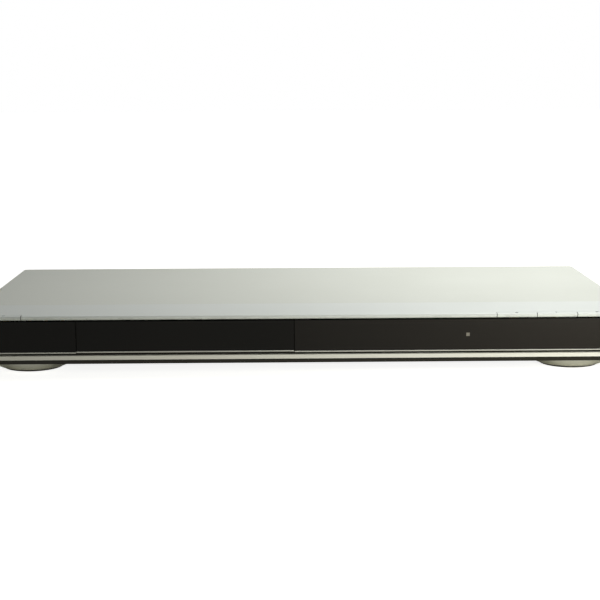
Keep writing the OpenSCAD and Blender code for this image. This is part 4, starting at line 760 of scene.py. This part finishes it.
# Sizes inside the tree are millimetres, and each instance is brought to metres
tree, given, wanted = new_group("cross_screws", "GeometryNodeTree", {
    "Geometry": "Geometry", "Head Radius": 2.8, "Head Height": 1.6, "Shank Radius": 1.4,
    "Slot Width": 0.65, "Slot Length": 3.3, "Slot Depth": 0.95, "Material": "Material",
}, {"Geometry": "Geometry"})
millimetre = 0.001
rim_share, dome_share = 0.6, 0.45
radius, height = given["Head Radius"], given["Head Height"]
rim = add(tree, "GeometryNodeMeshCylinder", {
    "Vertices": 28, "Radius": radius, "Depth": times(tree, height, rim_share),
}).outputs["Mesh"]
dome = add(tree, "GeometryNodeMeshCone", {
    "Vertices": 28, "Radius Top": times(tree, radius, 0.72), "Radius Bottom": times(tree, radius, 0.99),
    "Depth": times(tree, height, dome_share),
}).outputs["Mesh"]
head = add(tree, "GeometryNodeMeshBoolean", operation="UNION", solver="MANIFOLD")
for part, lift in ((rim, rim_share / 2), (dome, 1.0 - dome_share)):
    tree.links.new(moved(tree, part, z=times(tree, height, lift)), head.inputs["Mesh 2"])
recess = add(tree, "GeometryNodeMeshBoolean", {"Mesh 1": head.outputs[0]}, operation="DIFFERENCE",
             solver="MANIFOLD")
slot_width, slot_length = given["Slot Width"], given["Slot Length"]
deep = times(tree, given["Slot Depth"], 2.0)
for x, y in ((slot_width, slot_length), (slot_length, slot_width)):
    tree.links.new(moved(tree, block(tree, x, y, deep), z=height), recess.inputs["Mesh 2"])
spin = add(tree, "FunctionNodeRandomValue", {2: 0.0, 3: 1.5, "Seed": 7}, data_type="FLOAT").outputs[1]
spin = add(tree, "FunctionNodeAxisAngleToRotation", {"Axis": (0, 0, 1), "Angle": spin}).outputs[0]
turned = add(tree, "FunctionNodeRotateRotation", {"Rotation": facing_way(tree, "Z"), "Rotate By": spin},
             rotation_space="LOCAL").outputs[0]
shank = add(tree, "GeometryNodeMeshCylinder", {
    "Vertices": 14, "Radius": given["Shank Radius"], "Depth": 1.0,
}).outputs["Mesh"]
shank = moved(tree, shank, z=-0.5)
reach = add(tree, "GeometryNodeInputNamedAttribute", {"Name": "reach"}, data_type="FLOAT").outputs[0]
shank_scale = add(tree, "ShaderNodeCombineXYZ", {"X": millimetre, "Y": millimetre, "Z": reach}).outputs[0]
placed = [
    add(tree, "GeometryNodeInstanceOnPoints", {
        "Points": given["Geometry"], "Instance": part, "Rotation": turned, "Scale": scale,
    }).outputs[0]
    for part, scale in ((recess.outputs[0], (millimetre,) * 3), (shank, shank_scale))
]
close_tree(tree, joined(tree, *placed), given, wanted)
for name, node in (("outer_screws", "case_screws"), ("board_screws", "inner_screws")):
    grow(name, screw_places(node), tree, {"Material": plated_steel}, "screw_steel", node)

# ------------------------------------------------------------------ printed boards
# Glass-fibre boards under green solder lacquer, with copper tracks and tinned holes: the main board at
# the right rear, the power board at the left, two under the keys and one upright behind the display.


def grid(tree, place, line, width, height, shift):
    """The lines between rows of rectangles, in millimetres, each row shifted by a share of one."""
    return add(tree, "ShaderNodeTexBrick", {
        "Vector": place, "Scale": 1000.0, "Mortar Size": line, "Brick Width": width, "Row Height": height,
    }, offset=shift).outputs["Fac"]


green_board, tree, place = finish(
    "green_board", (22, 70, 44), (28, 80, 50), 0.3, grain=700.0, cloud=60.0, dust=0.15, spread=0.1)
flat = axes(tree, place)
depthwise = maths(tree, "ADD", flat["Y"], flat["Z"])
laid_flat = add(tree, "ShaderNodeCombineXYZ", {"X": flat["X"], "Y": depthwise}).outputs[0]
tracks = grid(tree, laid_flat, line=0.16, width=7.0, height=1.3, shift=0.37)
repaint(tree, tracks, linear(52, 112, 66))
holes = add(tree, "ShaderNodeTexVoronoi", {"Vector": laid_flat, "Scale": 190.0, "Randomness": 0.85})
tinned = ramp(tree, holes.outputs["Distance"], low=0.14, high=0.11)
repaint(tree, tinned, linear(188, 186, 178))
for name, node in (("main_panel", "main_board"), ("power_panel", "power_board"),
                   ("key_panels", "key_boards"), ("display_panel", "display_board")):
    dress(name, node, [green_board], "board_green")

# ------------------------------------------------------------------ chips and their legs
# Decoder, memories, motor driver and sound chips in matt black resin. Rows of bent tinned legs run
# along two sides of each, or along all four of a square one.
black_resin = finish(
    "black_resin", (26, 26, 27), (34, 34, 34), 0.6, grain=2600.0, depth=0.00002, dust=0.1, level=0.3)[0]
tinned_copper = finish(
    "tinned_copper", (170, 170, 166), (192, 192, 188), 0.32, metal=0.7, grain=2500.0, depth=0.000004)[0]
dress("resin_chips", "main_chips", [black_resin], "chip_black", [rounded(0.00012, 1)])
corners, rows, ways = [], [], []
row_margin = 0.0011
nearly_square = 0.001
for solid in separate_solids("main_chips"):
    low, high = box_of(solid)
    wide, deep = high.x - low.x, high.y - low.y
    sides = []
    if wide > deep - nearly_square:
        start, end = low.x + row_margin, high.x - row_margin
        sides += [((start, y), (end, y), (0, way, 0)) for y, way in ((low.y, -1), (high.y, 1))]
    if deep > wide - nearly_square:
        start, end = low.y + row_margin, high.y - row_margin
        sides += [((x, start), (x, end), (way, 0, 0)) for x, way in ((low.x, -1), (high.x, 1))]
    for start, end, way in sides:
        rows.append((len(corners), len(corners) + 1))
        corners += [(*start, low.z), (*end, low.z)]
        ways += [way, way]
leg_rows = bpy.data.meshes.new("leg_rows")
leg_rows.from_pydata(corners, rows, [])
store_ways(leg_rows, ways)
tree, given, wanted = new_group("bent_legs", "GeometryNodeTree", {
    "Geometry": "Geometry", "Pitch": 0.001, "Leg Width": 0.0004, "Leg Reach": 0.0011, "Leg Rise": 0.0007,
    "Leg Thickness": 0.00015, "Material": "Material",
}, {"Geometry": "Geometry"})
line = add(tree, "GeometryNodeMeshToCurve", {"Mesh": given["Geometry"]}).outputs[0]
line = add(tree, "GeometryNodeResampleCurve", {"Curve": line, "Length": given["Pitch"]},
           mode="LENGTH").outputs[0]
width, thick = given["Leg Width"], given["Leg Thickness"]
rise, run = given["Leg Rise"], given["Leg Reach"]
# Each leg leaves the chip flat, drops to the board and ends in a flat sole
shoulder = block(tree, width, times(tree, run, 0.5), thick)
shoulder = moved(tree, shoulder, y=times(tree, run, 0.2), z=rise)
drop = moved(tree, block(tree, width, thick, rise), y=times(tree, run, 0.42), z=times(tree, rise, 0.5))
sole = block(tree, width, times(tree, run, 0.6), thick)
sole = moved(tree, sole, y=times(tree, run, 0.7), z=times(tree, thick, 0.5))
legs = add(tree, "GeometryNodeInstanceOnPoints", {
    "Points": line, "Instance": joined(tree, shoulder, drop, sole), "Rotation": facing_way(tree, "Y"),
}).outputs[0]
close_tree(tree, legs, given, wanted)
grow("chip_legs", leg_rows, tree, {"Material": tinned_copper}, "motor_steel")

# ------------------------------------------------------------------ sockets, switches and receiver
# Ivory nylon sockets with dark contact slots, the four black push switches with brass plungers, and
# the receiver behind the display window in its black shell.


def waves(tree, place, scale, direction, distortion=0.0):
    """Even bands that follow each other in one direction."""
    return add(tree, "ShaderNodeTexWave", {"Vector": place, "Scale": scale, "Distortion": distortion},
               bands_direction=direction).outputs["Fac"]


ivory_nylon, tree, place = finish(
    "ivory_nylon", (214, 206, 182), (224, 217, 196), 0.42, grain=900.0, dust=0.1, spread=0.08)
slots = ramp(tree, waves(tree, place, 160.0, "X"), low=0.86, high=0.94)
repaint(tree, slots, linear(96, 88, 72))
dress("ribbon_sockets", "board_sockets", [ivory_nylon], "socket_ivory", [rounded(0.0003)])
brass = finish(
    "brass", (186, 158, 96), (204, 176, 112), 0.3, metal=0.8, grain=2200.0, depth=0.000005)[0]
plunger_length = 0.0009
plunger_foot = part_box("key_switches")[1].z - plunger_length


def plunger_face(middle, normal):
    """The plungers are the part above the switches' square bodies."""
    return 1 if middle.z > plunger_foot else 0


dress("push_switches", "key_switches", [black_moulding, brass], "black_abs", [rounded(0.00015, 1)],
      plunger_face)
dress("receiver_shell", "remote_sensor", [black_moulding], "black_abs", [rounded(0.0002)])

# ------------------------------------------------------------------ display tube
# A flat vacuum tube of dark glass with its grid of digits unlit. It is soldered along the display
# board and stands in its slot of the subframe, close behind the long window.
tube_glass, tree, place = finish(
    "tube_glass", (24, 34, 34), (30, 42, 41), 0.08, grain=400.0, depth=0.000002, spread=0.04)
along = axes(tree, place)
upright = add(tree, "ShaderNodeCombineXYZ", {"X": along["X"], "Y": along["Z"]}).outputs[0]
repaint(tree, grid(tree, upright, line=0.35, width=6.4, height=4.3, shift=0.0), linear(70, 84, 80))
dress("digit_tube", "display_tube", [tube_glass], "tube_glass", [rounded(0.0004, 3)])

# ------------------------------------------------------------------ capacitors, transformer and fuse
# Electrolytic cans in printed sleeves with a pale stripe and scored aluminium tops, the ferrite
# transformer wound under yellow tape, the finned plate, and the glass fuse in its clips.
can_top = finish("can_top", (176, 178, 178), (196, 198, 198), 0.32, metal=0.7, grain=1800.0)[0]
sleeve_stripe = finish(
    "sleeve_stripe", (176, 180, 184), (190, 192, 194), 0.4, grain=1200.0, depth=0.000006)[0]
blue_sleeve = finish(
    "blue_sleeve", (28, 36, 74), (36, 46, 88), 0.32, grain=1200.0, depth=0.000006, dust=0.1)[0]
black_sleeve = finish(
    "black_sleeve", (22, 22, 26), (30, 30, 34), 0.32, grain=1200.0, depth=0.000006, dust=0.1)[0]
stripe_turn = 0.93


def can_face(middle, normal):
    """The top of a can is bare, and its stripe runs down one side."""
    return 1 if normal.z > squarely else 2 if normal.x > stripe_turn else 0


for name, node, sleeve in (("small_cans", "main_capacitors", blue_sleeve),
                           ("large_cans", "power_capacitors", black_sleeve)):
    dress(name, node, [sleeve, can_top, sleeve_stripe], "capacitor_sleeve", paint=can_face)
ferrite = finish("ferrite", (44, 42, 42), (56, 54, 53), 0.7, depth=0.00004, dust=0.15, level=0.3)[0]
winding_tape, tree, place = finish(
    "winding_tape", (206, 164, 44), (218, 178, 58), 0.36, grain=600.0, depth=0.00002, dust=0.1,
    spread=0.1,
)
ridges(tree, waves(tree, place, 140.0, "Z", distortion=0.4), 0.00006)
core_low, core_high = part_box("transformer")
core_limb = 0.0031
core_rise = 0.0021
winding_end = 0.0049


def core_face(middle, normal):
    """The core stands outside the winding at both ends and above it."""
    at_limb = min(middle.x - core_low.x, core_high.x - middle.x) < core_limb
    outside = at_limb or middle.z > core_high.z - core_rise
    at_ends = middle.y < core_low.y + winding_end or middle.y > core_high.y - winding_end
    return 0 if outside and not at_ends else 1


dress("wound_core", "transformer", [ferrite, winding_tape], "transformer_wrap", [rounded(0.0004)],
      core_face)


def streaks(tree, place, across, along, depth):
    """The fine lines of drawn or rolled metal."""
    pulled = add(tree, "ShaderNodeMapping", {"Vector": place, "Scale": (across, across, along)})
    ridges(tree, noise(tree, pulled.outputs[0], 1.0, detail=3.0), depth)


drawn_aluminium, tree, place = finish(
    "drawn_aluminium", (170, 172, 174), (190, 192, 194), 0.34, metal=0.8, grain=1600.0, spread=0.1)
streaks(tree, place, across=60.0, along=2400.0, depth=0.00003)
dress("finned_plate", "heat_sink", [drawn_aluminium], "heat_sink_aluminium", [rounded(0.0002)])
fuse_glass = finish("fuse_glass", (214, 224, 222), (224, 232, 230), 0.05, grain=300.0, depth=0.000001,
                    also={"Transmission Weight": 0.85})[0]
fuse_low, fuse_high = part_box("mains_fuse")
fuse_middle = (fuse_low + fuse_high) / 2
glass_half_length = 0.0049
glass_half_width = 0.0027


def fuse_face(middle, normal):
    """Glass between the two clips, plated caps and clips at the ends."""
    off = middle - fuse_middle
    return 1 if abs(off.y) < glass_half_length and abs(off.x) < glass_half_width else 0


dress("glass_fuse", "mains_fuse", [plated_steel, fuse_glass], "clear_glass", [rounded(0.00015, 1)],
      fuse_face)

# ------------------------------------------------------------------ rear sockets
# Black blocks on the main board with plated barrels and moulded cores in the usual colours, the round
# picture socket, the square optical one, and the two-pole mains inlet with its pins.
for name, node in (("jack_housings", "jack_blocks"), ("picture_socket", "svideo_socket"),
                   ("light_socket", "optical_socket"), ("inlet_shell", "mains_inlet")):
    dress(name, node, [black_moulding], "black_abs", [rounded(0.0003)])
plated_brass = finish("plated_brass", (186, 184, 176), (204, 202, 194), 0.22, metal=0.85, grain=2200.0,
                      depth=0.000004, spread=0.08)[0]
for name, node in (("plated_barrels", "jack_barrels"), ("contact_pins", "inlet_pins")):
    dress(name, node, [plated_brass], "motor_steel")
core_tones = {
    "orange": (214, 112, 32), "green": (38, 132, 64), "blue": (36, 72, 160), "red": (186, 32, 34),
    "yellow": (224, 188, 36), "white": (226, 224, 216),
}
shaded = 0.94
core_plastics = {}
for tone, light in core_tones.items():
    core_plastics[tone] = finish(f"{tone}_core", [c * shaded for c in light], light, 0.36,
                                 depth=0.000008, dust=0.05)[0]
core_order = ["orange", "green", "blue", "red", "yellow", "white", "red"]
core_middles = sorted({round(sum(p.x for p in s) / len(s), 5) for s in separate_solids("jack_inserts")})


def core_colour(middle, normal):
    """Each core takes the colour of its place in the row."""
    nearest = min(range(len(core_middles)), key=lambda i: abs(core_middles[i] - middle.x))
    return list(core_plastics).index(core_order[nearest])


dress("jack_cores", "jack_inserts", list(core_plastics.values()), "insert_plastic", paint=core_colour)

# ------------------------------------------------------------------ cables
# White ribbons with their conductors showing through, from the display board and the loader to the
# main board, and the bundle of red wires from the power board.
ribbon_film, tree, place = finish(
    "ribbon_film", (214, 214, 208), (224, 224, 218), 0.3, grain=800.0, depth=0.000006)
conductors = ramp(tree, waves(tree, place, 320.0, "X"), low=0.35, high=0.65)
repaint(tree, conductors, linear(166, 168, 168))
red_wire, tree, place = finish("red_wire", (150, 26, 24), (168, 34, 30), 0.4, grain=900.0, dust=0.1)
lay = add(tree, "ShaderNodeMapping", {"Vector": place, "Rotation": (0.0, 0.0, 0.5)}).outputs[0]
ridges(tree, waves(tree, lay, 160.0, "Y"), 0.0002)
wire_front = 0.065
dress("ribbons_and_wires", "cables", [ribbon_film, red_wire], "cable_sheath",
      paint=lambda middle, normal: 1 if middle.y > wire_front else 0)

# ------------------------------------------------------------------ loader
# Charcoal ABS frame screwed to the chassis floor. A small motor turns its pulley, a rubber belt turns
# the pulley gear, and that turns the loading gear against the rack under the tray and the cam slider.
charcoal_abs = finish("charcoal_abs", (40, 40, 42), (50, 50, 52), 0.5, grain=1300.0, depth=0.00003,
                      bare=(84, 84, 84), wear=0.3, dust=0.12, spread=0.1, level=0.35)[0]
dress("loader_body", "loader_frame", [charcoal_abs], "loader_abs", [small_corners])
white_acetal = finish("white_acetal", (222, 220, 208), (232, 230, 220), 0.34, grain=1100.0,
                      depth=0.000008, cloud=60.0, dust=0.06, spread=0.08)[0]
for name, node in (("belt_wheel", "pulley_gear"), ("tray_gear", "loading_gear"),
                   ("cam_bar", "cam_slider"), ("motor_wheel", "motor_pulley"), ("sled_wheel", "sled_gear"),
                   ("sled_pin", "sled_pinion"), ("disc_clamp", "clamper")):
    dress(name, node, [white_acetal], "white_acetal")
belt_rubber = finish(
    "belt_rubber_black", (24, 24, 24), (32, 32, 31), 0.75, grain=1800.0, depth=0.00004, level=0.3)[0]
dress("rubber_belt", "drive_belt", [belt_rubber], "belt_rubber")
rolled_can, tree, place = finish(
    "rolled_can", (158, 160, 162), (180, 182, 184), 0.3, metal=0.8, depth=0.000006, spread=0.1)
streaks(tree, place, across=40.0, along=1800.0, depth=0.00002)
for name, node in (("tray_motor", "loading_motor"), ("pickup_motor", "sled_motor"),
                   ("disc_motor", "spindle_motor"), ("ground_rods", "guide_rods")):
    dress(name, node, [rolled_can], "motor_steel")

# ------------------------------------------------------------------ disc tray
# One black ABS moulding with a satin tooth: a shallow round well for the disc, a smaller one inside it,
# and a slot for the turntable and the pickup. The rack is moulded underneath.
tray_moulding = finish("tray_moulding", (28, 28, 30), (36, 36, 38), 0.46, depth=0.00003,
                       bare=(74, 74, 76), wear=0.3, dust=0.06, spread=0.1, level=0.35)[0]
dress("disc_carrier", "disc_tray", [tray_moulding], "tray_abs", [small_corners])

# ------------------------------------------------------------------ traverse and pickup
# A charcoal frame hinged at the rear, with the disc motor, its turntable with a rubber ring, two ground
# rods, and the sled on them that carries the lens in its holder.
for name, node in (("traverse_body", "traverse_frame"), ("pickup_block", "pickup_sled")):
    dress(name, node, [charcoal_abs], "loader_abs", [small_corners])
hub_rise = 0.0025
grip_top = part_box("turntable")[1].z - hub_rise
grip_reach = 0.0003


def grip_face(middle, normal):
    """The flat ring that the disc lies on is rubber."""
    return 1 if normal.z > squarely and abs(middle.z - grip_top) < grip_reach else 0


dress("disc_table", "turntable", [tray_moulding, belt_rubber], "tray_abs", paint=grip_face)
lens_glass = finish("lens_glass", (120, 150, 190), (134, 164, 202), 0.04, grain=300.0, depth=0.000001,
                    also={"Transmission Weight": 0.6})[0]
lens_low, lens_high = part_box("objective_lens")
lens_middle = (lens_low + lens_high) / 2
glass_radius = 0.0026
glass_drop = 0.0009


def lens_face(middle, normal):
    """The glass is the dome inside the holder's ring."""
    off = ((middle.x - lens_middle.x) ** 2 + (middle.y - lens_middle.y) ** 2) ** 0.5
    return 1 if off < glass_radius and middle.z > lens_high.z - glass_drop else 0


dress("pickup_lens", "objective_lens", [charcoal_abs, lens_glass], "clear_glass", paint=lens_face)
